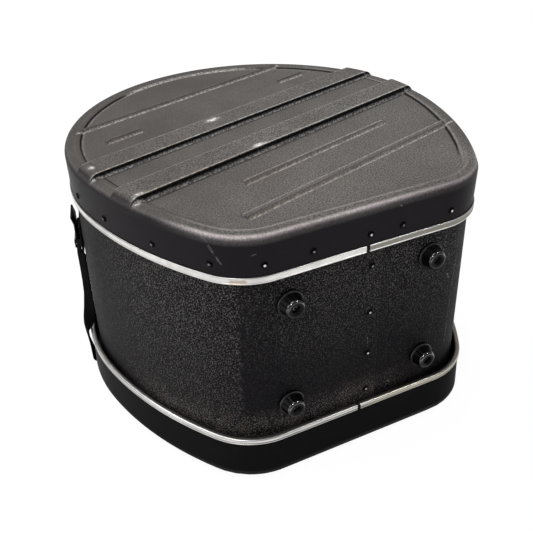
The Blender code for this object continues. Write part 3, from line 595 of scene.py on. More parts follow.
def end_marks(plan, inset):
    """All painted values at plan points that lie inset from the outline."""
    across, along = plan @ ACROSS_RIBS, plan @ ALONG_RIBS
    marks = Marks((name, np.zeros(len(plan))) for name in MARK_NAMES)
    flanks = mark_wide_ribs(marks, across, inset)
    mark_thin_ribs(marks, across, along)
    mark_rim(marks, *plan.T, inset)
    for place, line, length, width in GLINTS:
        marks.lay("glint", soft_line(along, place, length) * soft_line(across, line, width))
    marks["glint"] = marks["glint"] * (1 - 0.9 * flanks)
    return marks


print("marks for", len(THIN_RIBS) + len(WIDE_RIBS), "ribs")

# %% Rows of the formed end
LONGEST_ROW, END_CLEAR, LEAST_STEP, THIN_ROW_STEP = 0.36, 0.00009, 0.0002, 0.00045
END_STEPS = (0.0001, 0.0005, 0.0012)


def row_places(low, high, pitch):
    """Where the rows lie across the ribs: closer at each rib's sides and at both ends."""
    places = list(np.arange(low, high, pitch))
    places += [low + step for step in END_STEPS] + [high - step for step in END_STEPS]
    for start, end in WIDE_RIBS:
        places += list(start + np.linspace(-WIDE_FLANK - 0.0016, 0.0012, 20))
        places += list(end + np.linspace(-0.0008, WIDE_FLANK + 0.0008, 11))
    for start, end, _, _ in THIN_RIBS:
        places += list(np.arange(start - 0.0015, end + 0.0008, THIN_ROW_STEP))
    inner = [place for place in places if low + END_CLEAR < place < high - END_CLEAR]
    places = np.unique(np.round(inner, 6))
    keep = [places[0]]
    for place in places[1:]:
        if place - keep[-1] > LEAST_STEP:
            keep.append(place)
    return np.array(keep)


def end_grid(border, pitch):
    """Plan points in rows along the ribs, each row reaching from border to border."""
    across, along = border @ ACROSS_RIBS, border @ ALONG_RIBS
    after, along_after = np.roll(across, -1), np.roll(along, -1)
    columns = round(LONGEST_ROW / pitch)
    grid = []
    for place in row_places(across.min(), across.max(), pitch):
        crossed = np.nonzero((across - place) * (after - place) <= 0)[0]
        t = (place - across[crossed]) / (after[crossed] - across[crossed])
        reach = along[crossed] + (along_after[crossed] - along[crossed]) * t
        line = np.linspace(reach.min(), reach.max(), columns)
        grid.append(np.outer(line, ALONG_RIBS) + place * ACROSS_RIBS)
    return np.array(grid)


def grid_skin(count, wide):
    """Faces of a grid of count rows, and its border as (row, column) pairs."""
    faces = [(r * wide + c, r * wide + c + 1, (r + 1) * wide + c + 1, (r + 1) * wide + c)
             for r in range(count - 1) for c in range(wide - 1)]
    loop = [(0, c) for c in range(wide)] + [(r, wide - 1) for r in range(1, count)]
    loop += [(count - 1, c) for c in range(wide - 2, -1, -1)] + [(r, 0) for r in range(count - 2, 0, -1)]
    return faces, loop


print("rows at least", 1000 * LEAST_STEP, "mm apart")

# %% Rings of the formed end
SKIN_T, WITH_RIB_NEAR, WITH_RIB_FAR = 0.0024, 0.003, 0.016


def rim_ways(border):
    """The way each border point moves outwards: along a wide rib where it ends, else straight out."""
    _, outward = out_of_plan(border)
    across, along = border @ ACROSS_RIBS, border @ ALONG_RIBS
    with_rib = np.zeros(len(border))
    for low, high in WIDE_RIBS:
        beside = np.maximum(low - across, across - high)
        with_rib = np.maximum(with_rib, 1 - soft_step(beside, WITH_RIB_NEAR, WITH_RIB_FAR))
    with_rib = with_rib[:, None]
    ways = with_rib * np.sign(along)[:, None] * ALONG_RIBS + (1 - with_rib) * outward
    return ways / np.linalg.norm(ways, axis=1)[:, None]


def moved_out(border, ways, off):
    """Border points moved along their ways until they lie on the D at off."""
    ring = border
    for _ in range(3):
        distance, outward = out_of_plan(ring)
        ring = ring + ways * ((off - distance) / np.sum(ways * outward, axis=1))[:, None]
    return ring


def rim_places(inner_inset, edge_round):
    """Insets of the rings from the rows' border out over the rim and round its edge."""
    return [*np.arange(inner_inset - 0.0006, 0.0140, -0.0005), *np.arange(0.0132, 0.0062, -0.0011),
            *(edge_round * (1 - math.sin(a)) for a in quarter(11))]


def skirt_places(skirt_h, edge_round):
    """The skirt's rings as (inset, z): down its outer face, round its lower edge and up inside."""
    low, foot, inside = -skirt_h, SKIRT_FLARE, SKIN_T
    side = [(foot * t, -edge_round + (low + 0.001 + edge_round) * t) for t in np.linspace(0.1, 1, 7)]
    side += [(foot + 0.0004, low + 0.0002), (foot + 0.0009, low)]
    side += [(foot + inside - 0.0009, low), (foot + inside - 0.0004, low + 0.0002)]
    side += [(foot + inside, low + 0.001)]
    side += [(inside, -edge_round - 0.004), (inside + 0.001, -edge_round + 0.0003)]
    return side + [(inside + 0.0036, -PANEL_DROP - SKIN_T)]


def formed_end(off, skirt_h, edge_round, pitch):
    """Points, faces and painted values of a formed end with its rim at z = 0."""
    inner_inset, rim_off = RIM_W + RIM_FALL + SOFT_FALL, off + SKIRT_FLARE
    grid = end_grid(d_outline(rim_off - inner_inset, spacing=0.001)[0], pitch)
    faces, loop = grid_skin(*grid.shape[:2])
    border = np.array([grid[r, c] for r, c in loop])
    ways = rim_ways(border)

    plan = grid.reshape(-1, 2)
    depth = rim_off - out_of_plan(plan)[0]
    points, marks = [raised(plan, end_height(plan, depth, edge_round))], [end_marks(plan, depth)]
    for inset in rim_places(inner_inset, edge_round):
        ring, insets = moved_out(border, ways, rim_off - inset), np.full(len(border), inset)
        points.append(raised(ring, end_height(ring, insets, edge_round)))
        marks.append(end_marks(ring, insets))
    for inset, z in skirt_places(skirt_h, edge_round):
        points.append(raised(moved_out(border, ways, rim_off - inset), z))
        marks.append({name: np.zeros(len(border)) for name in MARK_NAMES})

    inner = [r * grid.shape[1] + c for r, c in loop]
    for k in range(len(points) - 1):
        start = len(plan) + k * len(loop)
        outer = list(range(start, start + len(loop)))
        faces += zip(inner, inner[1:] + inner[:1], outer[1:] + outer[:1], outer)
        inner = outer
    faces.append(tuple(inner))
    painted = {name: np.concatenate([part[name] for part in marks]) for name in MARK_NAMES}
    return np.concatenate(points), faces, painted


print("skin", 1000 * SKIN_T, "mm thick")

# %% Formed ends
CAP_OFF, CAP_RIM_Z, CAP_SKIRT_BOTTOM_Z, CAP_EDGE_ROUND = -0.0013, 0.2611, 0.2178, 0.006
LID_OFF, LID_RIM_Z, LID_SKIRT_TOP_Z, LID_EDGE_ROUND = 0.0030, RIB_H, 0.0490, 0.003
CAP_PITCH, LID_PITCH = 0.0018, 0.004
points, faces, painted = formed_end(CAP_OFF, CAP_RIM_Z - CAP_SKIRT_BOTTOM_Z, CAP_EDGE_ROUND, CAP_PITCH)
add_piece("end_cap_formed", points + (0, 0, CAP_RIM_Z), faces, cap_plastic, "shell", "end_cap",
          sharp=60, painted=painted)
print("cap of", len(points), "points")
points, faces, painted = formed_end(LID_OFF, LID_SKIRT_TOP_Z - LID_RIM_Z, LID_EDGE_ROUND, LID_PITCH)
add_piece("lid_formed", points * (-1, 1, -1) + (0, 0, LID_RIM_Z), faces, lid_plastic, "lid",
          "lid_shell", sharp=60, painted=painted)
print("lid of", len(points), "points")

# %% [markdown]
# ## The grained wall
#
# The wall is one sheet of the same plastic with a coarse leather-like grain pressed into it, wrapped round
# the D and lapped on the flat side. The outer layer ends in a step there and the inner one comes out from
# behind it. Grain is many small rounded cells, and tiny sparks of painted highlight sit on them: lively at
# the left corner, near the top and low on the left of the flat side, and quieter towards the right and the
# back. Low on the flat side a painted brown reflection of the trim lies on the wall, and painted highlight
# lines run down the lap and the right corner's crease among the scratches.

# %% Grain
GRAIN_DARK, GRAIN_LIGHT = (0.0036, 0.0028, 0.0042), (0.0088, 0.0074, 0.0096)
SPARK_HIGHLIGHT_TONE, GRAIN_CELLS, GRAIN_DRIFT = (0.165, 0.158, 0.152), 480.0, 0.0012
grained = Finish("grained_plastic", Specular_IOR_Level=0.075)
bend = grained.noise(60.0, 3.0, 0.5)
drift = grained.node("ShaderNodeTexNoise", None, {"Vector": grained.place, "Scale": 220.0}, out="Color")
drift = grained.node("ShaderNodeVectorMath", {"operation": "SCALE"}, {0: drift, "Scale": GRAIN_DRIFT})
grain_at = grained.node("ShaderNodeVectorMath", {"operation": "ADD"}, {0: grained.place, 1: drift})
hills = grained.cells(GRAIN_CELLS, "SMOOTH_F1", grain_at)
valleys = grained.ramp(grained.cells(GRAIN_CELLS, "DISTANCE_TO_EDGE", grain_at), 0.0, 0.16)
spark = grained.ramp(grained.noise(820.0, 2.0, 0.6), 0.50, 0.66)
grained.set("Roughness", 0.50 + 0.12 * bend - 0.12 * spark)
grained.set("Normal", grained.bump(valleys * 0.5 + (1 - hills) * 0.3 + spark * 0.5, 0.00034, 0.9))
print("grain cells about", round(1000 / GRAIN_CELLS, 1), "mm")

# %% Where the grain carries painted highlights
x, y, z = grained.axis("X"), grained.axis("Y"), grained.axis("Z")
high_up, low_down = grained.ramp(z, 0.09, 0.20), grained.ramp(z, 0.085, 0.056)
past_crease = grained.ramp(x, -0.1160, -0.1125)
left_wall = grained.ramp(y, 0.01, -0.13) * (1 - past_crease) * (0.74 + 0.45 * high_up)
front_wall = past_crease * (0.22 + 0.74 * high_up) * (1 - 0.75 * grained.ramp(x, 0.07, 0.14))
front_wall = front_wall * (0.55 + 0.45 * grained.ramp(x, -0.11, -0.05)) * grained.ramp(y, 0.00, -0.08)
low_front = low_down * grained.ramp(x, 0.09, -0.02) * grained.ramp(y, -0.02, -0.12)
back_wall = 0.10 + grained.ramp(y, 0.00, 0.15) * 0.25
highlight_strength = (left_wall + front_wall).over(low_front * 1.5).over(back_wall) * (0.7 + 0.6 * bend)
print("grain zones ready")

# %% Wall tone
RUBBED_TONE, TRIM_REFLECTION_TONE, MARK_AND_HIGHLIGHT_TONE = (0.09, 0.085, 0.083), (0.19, 0.135, 0.10), (0.40, 0.38, 0.37)
# scratches as (start, end, width, strength); the last three are painted highlight lines along the lap and the
# right corner's crease
WALL_MARKS_AND_HIGHLIGHTS = (
    ((0.008, 0.121), (0.0088, 0.112), 0.0009, 0.5), ((0.009, 0.108), (0.0095, 0.103), 0.0009, 0.4),
    ((0.034, 0.107), (0.036, 0.104), 0.0009, 0.5), ((0.035, 0.0575), (0.037, 0.0565), 0.0009, 0.6),
    ((0.096, 0.161), (0.099, 0.156), 0.0014, 0.4), ((0.0192, 0.212), (0.0192, 0.060), 0.0010, 0.10),
    ((0.0455, 0.214), (0.0450, 0.180), 0.0009, 0.16), ((0.1085, 0.200), (0.1040, 0.075), 0.0012, 0.22),
)
wall_tone = grained.mix(valleys, GRAIN_DARK, GRAIN_LIGHT)
# painted highlights: sparks on the grain, strongest where the lamps light the wall
wall_tone = grained.mix((spark * highlight_strength).under(1.0), wall_tone, SPARK_HIGHLIGHT_TONE)
rubbed = grained.ramp(grained.noise(34.0, 5.0, 0.7), 0.56, 0.80)
wall_tone = grained.mix(rubbed * 0.06, wall_tone, RUBBED_TONE)
# painted reflection: a warm brown glow from the trim, low on the flat side
wall_tone = grained.mix(low_front * grained.ramp(bend, 0.36, 0.70) * 0.16, wall_tone, TRIM_REFLECTION_TONE)
broken = grained.ramp(grained.noise(260.0, 2.0, 0.6), 0.42, 0.56)
grained.set("Base Color", grained.scratched(wall_tone, WALL_MARKS_AND_HIGHLIGHTS, broken, MARK_AND_HIGHLIGHT_TONE))
print(len(WALL_MARKS_AND_HIGHLIGHTS), "marks on the wall")

# %% Wall
WALL_OFF, WALL_T, WALL_CORNER_R = -0.004, 0.0022, 0.075
WALL_BOTTOM_Z, WALL_TOP_Z = 0.0200, 0.2500
LAP_EDGE_X, LAP_INNER_X, LAP_BLEND_X = 0.0192, -0.0030, 0.052
CREASE, CREASE_FADE, STEP_W, BLEND_START = 0.14, 0.16, 0.0002, 0.0215


def lapped_outline(off, flat_steps):
    """The D whose straight front has a lap in it and whose corners start with a slight crease."""
    path, outward = d_outline(off, WALL_CORNER_R, spacing=0.002)
    from_front = np.arccos(np.clip(-outward[:, 1], -1, 1)) * (path[:, 1] < 0)
    crease = WALL_CORNER_R * CREASE * from_front * np.exp(-from_front / CREASE_FADE)
    path = path - outward * crease[:, None]
    front = FRONT_Y - off
    return np.concatenate((path, [(x, front + rise) for x, rise in flat_steps]))


def lap_rise(x):
    """How far the sheet lies behind the front, to the right of the lap's edge."""
    return WALL_T * (1 - soft_step(x, LAP_EDGE_X + 0.006, LAP_BLEND_X))


blend = [(x, lap_rise(x)) for x in np.linspace(BLEND_START, LAP_BLEND_X, 9)]
wall_flat = flat_half(WALL_CORNER_R)
outer_front = [(x, 0.0) for x in np.linspace(-wall_flat, LAP_EDGE_X - 0.0006, 9)]
outer_front += [(LAP_EDGE_X - STEP_W, 0.0001), (LAP_EDGE_X, 0.0004), (LAP_EDGE_X + 0.0001, WALL_T)] + blend
inner_front = [(x, 0.0) for x in np.linspace(-wall_flat, LAP_INNER_X, 9)]
inner_front += [(LAP_INNER_X + STEP_W, WALL_T)] + [(x, WALL_T) for x in (0.008, LAP_EDGE_X)] + blend[1:]
wall_outer = lapped_outline(WALL_OFF, outer_front)
wall_inner = lapped_outline(WALL_OFF - WALL_T, inner_front)
while len(wall_inner) < len(wall_outer):
    halfway = (wall_inner[-2] + wall_inner[-1]) / 2
    wall_inner = np.concatenate((wall_inner[:-1], [halfway, wall_inner[-1]]))
wall_inner = wall_inner[:len(wall_outer)]
wall_levels = np.linspace(WALL_BOTTOM_Z, WALL_TOP_Z, 24)
wall_rings = [raised(wall_outer, z) for z in wall_levels]
wall_rings += [raised(wall_inner, z) for z in (*wall_levels[::-4], WALL_BOTTOM_Z)]
wall_points, wall_faces = skin(wall_rings, around=True)
add_piece("wall_sheet", wall_points, wall_faces, grained, "shell", "wall", sharp=50)
print("wall round", len(wall_outer), "points")

# %% [markdown]
# ## Aluminium trims
#
# Rolled aluminium edges hold each skirt: a flat one under the cap, and a deeper channel with a rounded nose
# on the lid, standing off the wall. Each is a strip bent round the D whose ends meet with a small gap on the
# flat side. The metal is bright but handled: cloudy patches, fine lengthwise lines and a few brown stains.

# %% Aluminium finish
BRIGHT_METAL, CLOUDED_METAL, STAIN_TONE = (0.90, 0.88, 0.85), (0.66, 0.65, 0.64), (0.42, 0.33, 0.24)
DARK_ROW_TONE, DIM_REFLECTION_TONE, SPOT_TONE = (0.09, 0.08, 0.07), (0.17, 0.155, 0.12), (0.36, 0.22, 0.12)
YELLOW_TONE, LENGTHWISE = (0.62, 0.58, 0.46), (1.0, 1.0, 26.0)
CAP_TRIM_SPOT = ((-0.120, 0.2190), (-0.112, 0.2195), 0.0030)
aluminium = Finish("polished_aluminium", Metallic=1.0)
cloud = aluminium.noise(38.0, 4.0, 0.6)
lines = aluminium.noise(60.0, 3.0, 0.6, LENGTHWISE)
stain = aluminium.ramp(aluminium.noise(16.0, 3.0, 0.6), 0.64, 0.76)
metal_tone = aluminium.mix(aluminium.ramp(cloud, 0.3, 0.75), BRIGHT_METAL, CLOUDED_METAL)
metal_tone = aluminium.mix(stain * 0.5, metal_tone, STAIN_TONE)
# darker in cloudy patches along the listed dark rows
dark_row_patches = aluminium.painted("wear") * aluminium.ramp(cloud, 0.25, 0.6, 0.6, 1.0)
metal_tone = aluminium.mix(dark_row_patches, metal_tone, DARK_ROW_TONE)
# painted darker reflection on the listed rows to the right of the gap
metal_tone = aluminium.mix(aluminium.painted("dim_reflection") * 0.85, metal_tone, DIM_REFLECTION_TONE)
metal_tone = aluminium.mix(aluminium.stroke(*CAP_TRIM_SPOT) * 0.6, metal_tone, SPOT_TONE)
yellowed = aluminium.ramp(aluminium.axis("X"), 0.0, 0.02) * aluminium.ramp(aluminium.axis("Z"), 0.10, 0.08)
aluminium.set("Base Color", aluminium.mix(yellowed * 0.6, metal_tone, YELLOW_TONE))
aluminium.set("Roughness", 0.20 + 0.14 * cloud + 0.10 * lines + 0.15 * stain)
aluminium.set("Normal", aluminium.bump(lines + cloud * 1.5, 0.00008, 0.35))
print("aluminium ready")

# %% Edge strip
TRIM_T, CAP_TRIM_H, LID_TRIM_H, TRIM_GAP, FIT = 0.001, 0.0065, 0.0055, 0.0035, 0.0003
GAP_CLEAR = 0.02


def edge_strip(name, section, gap_x, body, node, dark_rows, dim_reflection_rows):
    """A closed section of (off, z) corners carried round the D, with its ends apart at gap_x.

    Dark rows are darker all round, in cloudy patches; the other listed rows carry a painted darker reflection
    to the right of the gap.
    """
    rows, wear, dim_reflection = [], [], []
    flat = flat_half()
    for k, (off, z) in enumerate(section):
        path, _ = d_outline(off, spacing=0.003)
        front = FRONT_Y - off
        start = [(x, front) for x in (gap_x + TRIM_GAP / 2, *np.linspace(gap_x + GAP_CLEAR, flat, 5))]
        end = [(x, front) for x in (*np.linspace(-flat, gap_x - GAP_CLEAR, 5), gap_x - TRIM_GAP / 2)]
        rows.append(raised(np.concatenate((start, path, end)), z))
        # the value painted as wear marks the listed dark rows
        wear.append(np.full(len(rows[-1]), 1.0 if k in dark_rows else 0.0))
        x, y, _ = rows[-1].T
        dim_reflection.append((k in dim_reflection_rows) * (x > gap_x) * soft_step(-y, 0.08, 0.14))
    points, faces = bar(rows)
    add_piece(name, points, faces, aluminium, body, node, sharp=40,
              painted={"wear": np.concatenate(wear), "dim_reflection": np.concatenate(dim_reflection)})


print("trim", 1000 * TRIM_T, "mm thick")

# %% Trims
cap_low = CAP_SKIRT_BOTTOM_Z - FIT - TRIM_T
cap_top, cap_leg, cap_inner = cap_low + CAP_TRIM_H, CAP_OFF + FIT, CAP_OFF - SKIN_T
cap_section = [
    (cap_inner, cap_low), (-0.0007, cap_low), (-0.0002, cap_low + 0.0002), (0.0, cap_low + 0.0007),
    (0.0, cap_low + 0.0012), (-0.0003, cap_low + 0.0015), (-0.0003, cap_low + 0.0019),
    (0.0, cap_low + 0.0022), (0.0, cap_low + 0.0040), (0.0, cap_top - 0.0011), (0.0, cap_top - 0.0006),
    (-0.0002, cap_top - 0.0002), (-0.0006, cap_top), (cap_leg, cap_top), (cap_leg, cap_low + TRIM_T),
    (cap_inner, cap_low + TRIM_T),
]
edge_strip("end_cap_edge", cap_section, 0.0014, "shell", "end_cap_trim", {13}, {5, 6, 7, 8, 9})

LID_TRIM_OFF, NOSE_R = LID_OFF + FIT + TRIM_T, 0.0016
lid_top = LID_SKIRT_TOP_Z + FIT + TRIM_T
lid_low = lid_top - LID_TRIM_H
lid_leg, lid_back = LID_OFF + FIT, LID_OFF - SKIN_T - FIT
lid_inner = lid_back - 0.0007
lid_nose = [(LID_TRIM_OFF - NOSE_R * (1 - math.cos(a)), lid_top - NOSE_R * (1 - math.sin(a)))
            for a in quarter(6)]
lid_section = [
    (lid_leg, lid_low), (LID_TRIM_OFF - 0.0004, lid_low), (LID_TRIM_OFF, lid_low + 0.0004),
    (LID_TRIM_OFF, lid_low + 0.0010), (LID_TRIM_OFF - 0.0004, lid_low + 0.0014),
    (LID_TRIM_OFF - 0.0004, lid_low + 0.0019), (LID_TRIM_OFF, lid_low + 0.0023), *lid_nose,
    (lid_inner + 0.0010, lid_top), (lid_inner + 0.0003, lid_top - 0.0003), (lid_inner, lid_top - 0.0010),
    (lid_inner, lid_low), (lid_back, lid_low), (lid_back, lid_top - TRIM_T), (lid_leg, lid_top - TRIM_T),
]
edge_strip("lid_edge", lid_section, -0.0030, "lid", "lid_trim", {0, 4, 5}, {5, 6})
print("trims", 1000 * CAP_TRIM_H, "and", 1000 * LID_TRIM_H, "mm high")

# %% [markdown]
# ## Turned pieces
#
# Rivets, feet and screws are round, so each is a profile of radius and height turned about its axis. A
# piece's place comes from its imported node: its middle, and how far it reaches out of the wall.


# %% Turning helpers
def turned(profile, steps):
    """Points and faces of a profile that starts and ends on the axis, or closes on itself."""
    angles = np.linspace(0, 2 * math.pi, steps, endpoint=False)
    circle = np.column_stack((np.cos(angles), np.sin(angles)))
    points, rings = [], []
    for radius, height in profile:
        if radius < 1e-9:
            rings.append([len(points)] * steps)
            points.append((0.0, 0.0, height))
        else:
            rings.append(list(range(len(points), len(points) + steps)))
            points += [(x * radius, y * radius, height) for x, y in circle]
    pairs = list(zip(rings, rings[1:]))
    if profile[0][0] > 1e-9:
        pairs.append((rings[-1], rings[0]))
    faces = []
    for a, b in pairs:
        for i in range(steps):
            j = (i + 1) % steps
            corners = dict.fromkeys((a[i], a[j], b[j], b[i]))
            if len(corners) > 2:
                faces.append(tuple(corners))
    return np.array(points), faces


def node_seat(node, top):
    """Where a round node stands: its middle shifted so that height top is its outermost point."""
    low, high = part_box(node)
    middle = (low + high) / 2
    _, directions = out_of_plan((middle.x, middle.y - CENTRE_Y))
    outward = Vector((*directions[0], 0.0))
    reach = max(v.co.dot(outward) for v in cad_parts[node].data.vertices)
    return middle + outward * (reach - middle.dot(outward) - top), outward


def stand(points, seat, outward):
    """Stand points that were turned about +Z on a seat, their axis along outward."""
    return np.asarray(points) @ np.array(outward.to_track_quat("Z", "Y").to_matrix()).T + np.array(seat)


print("turning helpers ready")

# %% [markdown]
# ## Rivets
#
# Black lacquered blind rivets hold the cap, the lap and the handle. A blind rivet's head is a low dome with a
# round end of the broken steel pin in its middle. The lacquer is black and the pin's end is bare steel with
# a painted highlight on it, strong on most heads and faint on some, so each head gets its own brightness,
# painted on the pin's end.

# %% Rivet finish
LACQUER_BLACK, CHIP_TONE, BARE_STEEL_HIGHLIGHT = (0.0025, 0.0023, 0.0027), (0.10, 0.095, 0.09), (0.93, 0.92, 0.90)
lacquer = Finish("black_lacquer", Specular_IOR_Level=0.05)
chip = lacquer.ramp(lacquer.noise(420.0, 3.0, 0.6), 0.60, 0.72)
# the pin's end: bare steel carrying a painted highlight, its strength painted per head
pin_end_highlight = lacquer.painted("pin")
lacquer_tone = lacquer.mix(chip * 0.12, LACQUER_BLACK, CHIP_TONE)
lacquer.set("Base Color", lacquer.mix(pin_end_highlight, lacquer_tone, BARE_STEEL_HIGHLIGHT))
lacquer.set("Metallic", pin_end_highlight)
lacquer.set("Roughness", 0.24 + 0.14 * lacquer.noise(260.0, 2.0, 0.5) + 0.1 * pin_end_highlight)
lacquer.set("Normal", lacquer.bump(lacquer.noise(900.0, 2.0, 0.5), 0.00006, 0.4))
print("lacquer ready")

# %% Rivets
HEAD_R, HEAD_H, SHANK_R, PIN_R, SMALL_SIDES = 0.0032, 0.0013, 0.0016, 0.0011, 24
rivet_head = [
    (0.0, 0.00125), (PIN_R - 0.0003, 0.00122), (PIN_R, 0.00112), (PIN_R + 0.0001, 0.0008),
    (PIN_R + 0.0003, HEAD_H), (0.0019, 0.00118), (0.0023, 0.00098), (0.0028, 0.00064),
    (0.0031, 0.00034), (HEAD_R, 0.00016), (HEAD_R, 0.0), (SHANK_R, 0.0),
]
# strength of the painted highlight on each head's pin end
BARE_PIN_HIGHLIGHTS = {
    "cap_rivet_05": 1.0, "cap_rivet_06": 0.3, "cap_rivet_07": 0.9, "cap_rivet_08": 0.2, "cap_rivet_09": 0.9,
    "seam_rivet_1": 0.5, "seam_rivet_2": 0.8, "seam_rivet_3": 0.8, "seam_rivet_4": 0.35,
}
COMMON_PIN_HIGHLIGHT = 0.25
rivet_nodes = sorted(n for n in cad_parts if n.startswith(("cap_rivet", "seam_rivet", "handle_rivet")))
for node in rivet_nodes:
    seat, outward = node_seat(node, HEAD_H)
    length = max((v.co - seat).dot(-outward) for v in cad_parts[node].data.vertices)
    points, faces = turned(rivet_head + [(SHANK_R, -length), (0.0, -length)], SMALL_SIDES)
    bare_pin_highlight = (np.hypot(*points[:, :2].T) < PIN_R + 0.00005) & (points[:, 2] > 0.0)
    add_piece(node + "_turned", stand(points, seat, outward), faces, lacquer, "shell", node,
              centred=False, painted={"pin": bare_pin_highlight * BARE_PIN_HIGHLIGHTS.get(node, COMMON_PIN_HIGHLIGHT)})
print(len(rivet_nodes), "rivets")

# %% [markdown]
# ## Feet
#
# The case can stand on its flat side on four moulded rubber feet, each a wide flange and a tapered cone with
# a recess for its screw. Handling has polished the upper half of the rounded shoulder and of the flange's
# edge, so those carry a clear coat; the rest is dull black and dusty in the corners.

# %% Rubber and steel
RUBBER_BLACK, RUBBER_DIRT = (0.0030, 0.0027, 0.0029), (0.045, 0.042, 0.040)
STEEL_DARK, STEEL_LIGHT = (0.10, 0.095, 0.09), (0.22, 0.21, 0.20)
rubber = Finish("foot_rubber", Specular_IOR_Level=0.12, Coat_IOR=2.2, Coat_Roughness=0.11)
film = rubber.noise(150.0, 4.0, 0.6)
dirt = rubber.painted("wear")
rubber.set("Base Color", rubber.mix(dirt * rubber.ramp(film, 0.3, 0.7), RUBBER_BLACK, RUBBER_DIRT))
rubber.set("Roughness", 0.16 + 0.14 * film + 0.3 * dirt)
rubber.set("Coat Weight", rubber.painted("polish"))
rubber.set("Normal", rubber.bump(film, 0.0002, 0.4))

steel = Finish("screw_steel", Metallic=1.0)
brushed = steel.ramp(steel.noise(500.0, 3.0, 0.6), 0.4, 0.7)
steel.set("Base Color", steel.mix(brushed, STEEL_DARK, STEEL_LIGHT))
steel.set("Roughness", 0.34 + 0.2 * steel.noise(300.0, 2.0, 0.5))
print("rubber and steel ready")

# %% Foot and screw profiles
FLANGE_R, FLANGE_H, BODY_R, FACE_R, FOOT_H = 0.0125, 0.0024, 0.0112, 0.0064, 0.0130
SHOULDER, RECESS_R, RECESS_H, LIP_R, FOOT_SIDES = 0.0025, 0.0042, 0.0055, 0.0006, 56
shelf, hole_r = FOOT_H - RECESS_H, SHANK_R + 0.0006
foot_profile = [(RECESS_R - 0.0005, shelf), (RECESS_R, shelf + 0.0005), (RECESS_R, FOOT_H - 0.0008)]
foot_profile += [(RECESS_R + LIP_R * (1 - math.cos(a)), FOOT_H - LIP_R * (1 - math.sin(a)))
                 for a in quarter(6)]
foot_profile += [(FACE_R + SHOULDER * math.sin(a), FOOT_H - SHOULDER * (1 - math.cos(a)))
                 for a in quarter(6)[:-1]]
foot_profile += [(FACE_R + SHOULDER + 0.0001, FOOT_H - SHOULDER), (BODY_R - 0.0003, FLANGE_H + 0.0012)]
foot_profile += [(BODY_R, FLANGE_H + 0.0004), (BODY_R + 0.0003, FLANGE_H), (FLANGE_R - 0.0004, FLANGE_H)]
foot_profile += [(FLANGE_R - 0.0001, FLANGE_H - 0.0002), (FLANGE_R, FLANGE_H - 0.0006), (FLANGE_R, 0.0)]
foot_profile += [(hole_r, 0.0), (hole_r, shelf)]
foot_dirt = [1.0 if r < RECESS_R + 0.0001 or (r > BODY_R - 0.0001 and z > FLANGE_H - 0.0001) else 0.0
             for r, z in foot_profile]
foot_polish = [1.0 if r > FACE_R + 0.0006 and z > FOOT_H - 0.8 * SHOULDER else
               0.5 if r > FLANGE_R - 0.0005 and z > FLANGE_H - 0.0007 else 0.0 for r, z in foot_profile]
screw_profile = [
    (0.0, shelf + 0.0010), (0.0009, shelf + 0.0011), (0.0012, shelf + 0.0024), (0.0022, shelf + 0.0022),
    (0.0031, shelf + 0.0016), (0.0036, shelf + 0.0010), (0.0038, shelf + FIT), (SHANK_R, shelf + FIT),
    (SHANK_R, FIT - WALL_T), (0.0, FIT - WALL_T),
]
print("feet", round(2000 * FLANGE_R, 1), "mm across")

# %% Feet
for number in range(1, 5):
    seat, outward = node_seat(f"foot_{number}", FOOT_H)
    points, faces = turned(foot_profile, FOOT_SIDES)
    points = stand(points, seat, outward)
    wear, polish = np.repeat(foot_dirt, FOOT_SIDES), np.repeat(foot_polish, FOOT_SIDES)
    polish = polish * (0.15 + 0.85 * soft_step(points[:, 2] - seat.z, -0.001, 0.004))
    add_piece(f"foot_{number}_moulded", points, faces, rubber, "shell", f"foot_{number}",
              centred=False, painted={"wear": wear, "polish": polish})
    points, faces = turned(screw_profile, SMALL_SIDES)
    add_piece(f"foot_screw_{number}_turned", stand(points, seat, outward), faces, steel, "shell",
              f"foot_screw_{number}", centred=False)
print("four feet and their screws")

# %% [markdown]
# ## The web strap
#
# A flat black web runs under the lid in its channel, turns up both sides and ends behind the cam levers. The
# finish is a dull black with a little fuzz and lint and leaves the weave out, and the slightly ragged
# selvedges are in the shape. Webbing keeps its flat section round a bend, so it is modelled directly as a
# strip that follows one line.

# %% Web finish
WEB_BLACK, LINT_TONE = (0.00195, 0.00187, 0.00214), (0.12, 0.115, 0.11)
web = Finish("woven_web", Specular_IOR_Level=0.02)
fuzz = web.noise(1400.0, 2.0, 0.6)
lint = web.ramp(web.noise(260.0, 4.0, 0.7), 0.64, 0.74)
web.set("Base Color", web.mix(lint * 0.02, WEB_BLACK, LINT_TONE))
web.set("Roughness", 0.78 + 0.15 * fuzz)
web.set("Normal", web.bump(fuzz * 0.4, 0.00030, 0.9))
print("web finish ready")

# %% The strap's line
STRAP_W, STRAP_T, CHANNEL_MID, STRAP_BEND_R = 0.025, 0.0016, -0.0025, 0.0055
STRAP_LIFT, STRAP_FLOOR_GAP, STRAP_TRIM_CLEAR = 0.0025, 0.0030, 0.0010
BUCKLE_BOTTOM_Z, STRAP_TOP_Z, STRAP_STEP = 0.144, 0.1745, 0.0012
channel_middle = np.array((math.sin(RIB_TURN), math.cos(RIB_TURN))) * CHANNEL_MID
strap_right = np.array((math.cos(RIB_TURN), -math.sin(RIB_TURN)))
strap_across = np.array((math.sin(RIB_TURN), math.cos(RIB_TURN)))


def reach_of(off, sign):
    """How far out along the strap's line the offset outline lies."""
    border, _ = d_outline(off, spacing=0.001)
    side, out = (border - channel_middle) @ strap_across, (border - channel_middle) @ (strap_right * sign)
    near = np.abs(side) + (out < 0)
    return out[np.argmin(near)]


